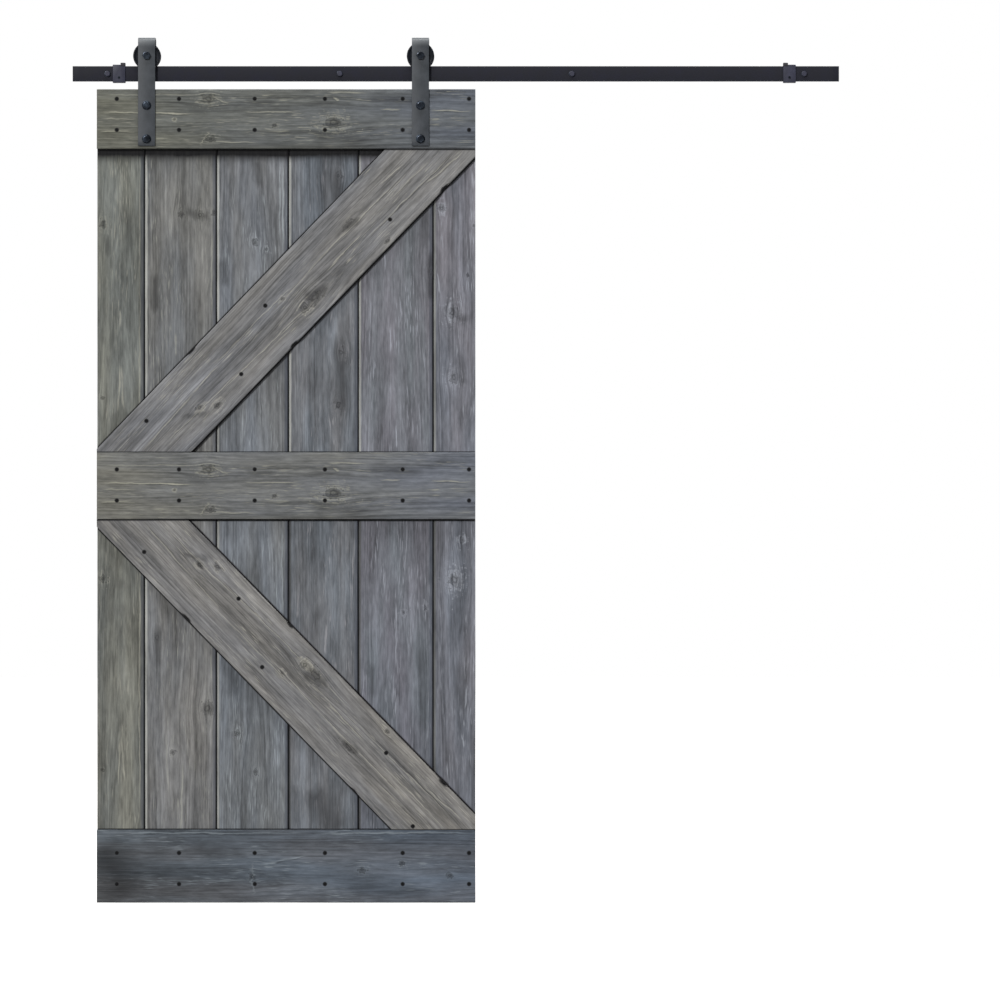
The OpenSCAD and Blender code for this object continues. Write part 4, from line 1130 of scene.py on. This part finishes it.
def make_stop(side):
    """A collar round the bar, cut out for it, for the rubber and for the set screw; and the rubber."""
    low, high = span("stop_" + side)
    rubber_low, rubber_high = span("stop_bumper_" + side)
    screw_low, screw_high = span("stop_set_screw_" + side)
    play, open_side, shut_side = 0.15, 8, 0.1
    past_left, past_right = (open_side, shut_side) if side == "right" else (shut_side, open_side)
    slot_box = helper("slot", block((low[0] - 5, high[0] + 5), (BAR_LOW[1] - play, BAR_HIGH[1] + play),
                                    (BAR_LOW[2] - play, BAR_HIGH[2] + play)))
    notch = helper("notch", block((rubber_low[0] - past_left, rubber_high[0] + past_right),
                                  (low[1] - 2, high[1] + 2), (BAR_HIGH[2] - 0.4, high[2] + 5)))
    drill = helper("drill", bore(3.3, -8, 6, 32, ((screw_low[0] + screw_high[0]) / 2, low[1],
                                                  (screw_low[2] + screw_high[2]) / 2)))
    collar = cut(block(*zip(low, high), 0.9), slot_box, notch, drill, solver="EXACT")
    tidy(collar)
    settle("stop_collar_" + side, collar, "track", ["stop_" + side], stop_coat)
    pad = block(*zip(rubber_low, rubber_high), 1.4, 4)
    tidy(pad)
    settle("stop_rubber_" + side, pad, "track", ["stop_bumper_" + side], rubber)


for side in SIDES:
    make_stop(side)


# ---- Hangers ----

STRAP_WIDE, STRAP_THICK, BEND = 45.0, 5.0, 6.0
(_, STRAP_FRONT, STRAP_END), (_, RETURN_BACK, _) = span("hanger_strap_left")


def strap_path():
    """The strap's middle line as (y, z, its way out): up in front, over two bends and down behind."""
    half, radius = STRAP_THICK / 2, BEND + STRAP_THICK / 2
    front, back, top = STRAP_FRONT + half, RETURN_BACK - half, STRAP_TOP - half
    lip = AXLE_Z - 22.0
    quarter = np.linspace(0, math.pi / 2, 13)
    path = [(front, z, -1.0, 0.0) for z in np.linspace(STRAP_END, top - radius, 24)]
    path += [(front + radius - radius * math.cos(a), top - radius + radius * math.sin(a),
              -math.cos(a), math.sin(a)) for a in quarter[1:]]
    path += [(back - radius + radius * math.sin(a), top - radius + radius * math.cos(a),
              math.sin(a), math.cos(a)) for a in quarter]
    return path + [(back, z, 1.0, 0.0) for z in np.linspace(top - radius, lip, 8)[1:]]


def make_strap(side, x):
    """A flat strap bent over its wheel, its edges and ends eased, with its three holes."""
    half, path = STRAP_THICK / 2, strap_path()
    # Each end is drawn in over its last stretch, as (inset, distance from the end)
    ends = ((0.7, 0.0), (0.25, 0.25), (0.0, 0.8))
    rows = ([(*path[0], inset, rise) for inset, rise in ends] + [(*row, 0.0, 0.0) for row in path[1:-1]]
            + [(*path[-1], inset, rise) for inset, rise in ends[::-1]])
    rings = []
    for y, z, out_y, out_z, draw, rise in rows:
        wide, thick = STRAP_WIDE / 2 - draw, half - draw
        outline = eased(corners_of(-wide, wide, -thick, thick), 0.9)
        rings.append([(x + a, y + out_y * b, z + out_z * b + rise) for a, b in outline])
    drill = helper("drill", joined(
        [bore(BOLT_HOLE / 2, -10, 10, 40, (x, STRAP_FRONT, z)) for z in STRAP_BOLT_Z]
        + [bore(AXLE_HOLE / 2, -10, 60, 48, (x, STRAP_FRONT, AXLE_Z))]))
    strap = cut(mesh_of("strap", loft(rings)), drill)
    tidy(strap)
    settle("hanger_" + side, strap, "door", ["hanger_strap_" + side], strap_coat)


for side, x in HANGERS.items():
    make_strap(side, x)

BOLT_WASHER, AXLE_WASHER = 2.0, 1.5
BOLT_NUT, AXLE_NUT = 5.0, 7.0
bolt_head = helper("bolt_head", hexagon_head(17, 6.4))
bolt_nut = helper("bolt_nut", hexagon_head(17, BOLT_NUT, 5.05, both=True))
bolt_washer = helper("bolt_washer", ring_shape(24, BOLT_HOLE, BOLT_WASHER, 0.35))
axle_head = helper("axle_head", hexagon_head(19, 7.5))
axle_nut = helper("axle_nut", hexagon_head(19, AXLE_NUT, 6.05, both=True))
axle_washer = helper("axle_washer", ring_shape(24, AXLE_HOLE, AXLE_WASHER, 0.3))


def make_bolts(side, x):
    """A hanger's two bolts through the door and its axle, with their nuts and washers."""
    seat = STRAP_FRONT - BOLT_WASHER
    bolts = [(x, seat, z) for z in STRAP_BOLT_Z]
    backs = [(x, DOOR_BACK, z) for z in STRAP_BOLT_Z]
    nuts = [(x, DOOR_BACK + BOLT_WASHER + BOLT_NUT, z) for z in STRAP_BOLT_Z]
    set_out("strap_hex_bolts_" + side, bolts, FASTENER_TREE, ["strap_bolts_" + side], head=bolt_head,
            start=-IN_HEAD, length=DOOR_BACK + BOLT_PAST - seat + IN_HEAD, diameter=BOLT, plain_length=32.0,
            pitch=1.5, thread_depth=0.85, tip=1.2, tip_share=0.18, around=32, rows_in_pitch=6.0, turn=0.5,
            seed=3, material=black_oxide)
    set_out("strap_hex_nuts_" + side, nuts, PART_TREE, ["strap_nuts_" + side], part=bolt_nut, turn=1.0,
            seed=4, material=black_oxide)
    set_out("strap_flat_washers_" + side, bolts + backs, PART_TREE, ["strap_washers_" + side],
            part=bolt_washer, turn=6.28, seed=4, material=black_oxide)
    set_out("axle_hex_bolt_" + side, [(x, STRAP_FRONT, AXLE_Z)], FASTENER_TREE, ["axle_bolt_" + side],
            head=axle_head, start=-IN_HEAD, length=RETURN_BACK + AXLE_PAST - STRAP_FRONT + IN_HEAD,
            diameter=AXLE, plain_length=42.0, pitch=1.75, thread_depth=0.95, tip=1.4, tip_share=0.18,
            around=36, rows_in_pitch=6.0, turn=0.0, material=black_oxide)
    set_out("axle_hex_nut_" + side, [(x, RETURN_BACK + AXLE_WASHER + AXLE_NUT, AXLE_Z)], PART_TREE,
            ["axle_nut_" + side], part=axle_nut, turn=1.0, seed=2, material=black_oxide)
    set_out("axle_flat_washer_" + side, [(x, RETURN_BACK, AXLE_Z)], PART_TREE, ["axle_washer_" + side],
            part=axle_washer, material=black_oxide)


for side, x in HANGERS.items():
    make_bolts(side, x)


# ---- Wheels ----

def make_wheel(side, x):
    """A turned wheel: flanges, groove, a ring turned in each face, a pocket for the bearing."""
    low, high = span("wheel_" + side)
    half, flange = (high[1] - low[1]) / 2, (high[2] - low[2]) / 2
    groove_r, groove_half, rim_half = 26.0, 4.0, 5.2
    pocket, lip, bearing_half, face = 16.025, 13.5, 5.0, half - 1.2
    inner, outer = 19.5, flange - 5
    outline = [(lip, -half), (inner, -half), (inner + 1, -face), (outer - 1, -face), (outer, -half),
               (flange - 1, -half), (flange, -half + 1), (flange, -rim_half), (groove_r, -groove_half),
               (groove_r, groove_half), (flange, rim_half), (flange, half - 1), (flange - 1, half),
               (outer, half), (outer - 1, face), (inner + 1, face), (inner, half), (pocket, half),
               (pocket, -bearing_half), (lip, -bearing_half)]
    ease = [0.4] * 5 + [0.5, 0.5, 0.6, 0.5, 0.5, 0.6, 0.5, 0.5] + [0.4] * 5 + [0.1, 0.1]
    wheel = mesh_of("wheel", turned(eased(outline, ease), 128, (x, BAR_MIDDLE, AXLE_Z)))
    settle("wheel_turned_" + side, wheel, "wheel_" + side, ["wheel_" + side], acetal)


for side, x in HANGERS.items():
    make_wheel(side, x)

# What stays as the CAD has it gets its own finish
KEPT = {"stop_set_screw": black_oxide, "axle_bushes": turned_steel, "bearing_outer_ring": bearing_steel,
        "bearing_inner_ring": bearing_steel, "bearing_balls": bearing_steel, "bearing_cage": brass,
        "bearing_shields": zinc}
for node, finish in KEPT.items():
    for side in SIDES:
        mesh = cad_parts[node + "_" + side].data
        mesh.materials.clear()
        mesh.materials.append(finish)

for made in HELPERS:
    bpy.data.objects.remove(made)


# ---- Floor ----

# Matt painted screed: pale, almost even, with faint trowel clouds
floor_finish, put, shader = material("matt_painted_screed")
place = put(V_SCALE, put("ShaderNodeTexCoord").outputs["Object"], 1 / MM)
clouds = speckles(put, place, (900, 900, 900), 3.0)
tone = put(RAMP, clouds, stops=((0.3, "#b4b2ae"), (0.5, "#bab8b4"), (0.7, "#c0beba")))
fill(shader, {"Base Color": tone, "Roughness": 0.85, "Emission Color": (1, 1, 1, 1),
              "Emission Strength": 0.88})
FLOOR_Z, FLOOR_HALF = (DOOR_BOTTOM - 12) * MM, 14
floor_corners = corners_of(-FLOOR_HALF, FLOOR_HALF, -FLOOR_HALF, FLOOR_HALF)
floor_mesh = bpy.data.meshes.new("floor")
floor_mesh.from_pydata([(x, y, FLOOR_Z) for x, y in floor_corners], [], [(0, 1, 2, 3)])
floor_mesh.materials.append(floor_finish)
floor = shown("floor", floor_mesh)
floor.visible_diffuse = False
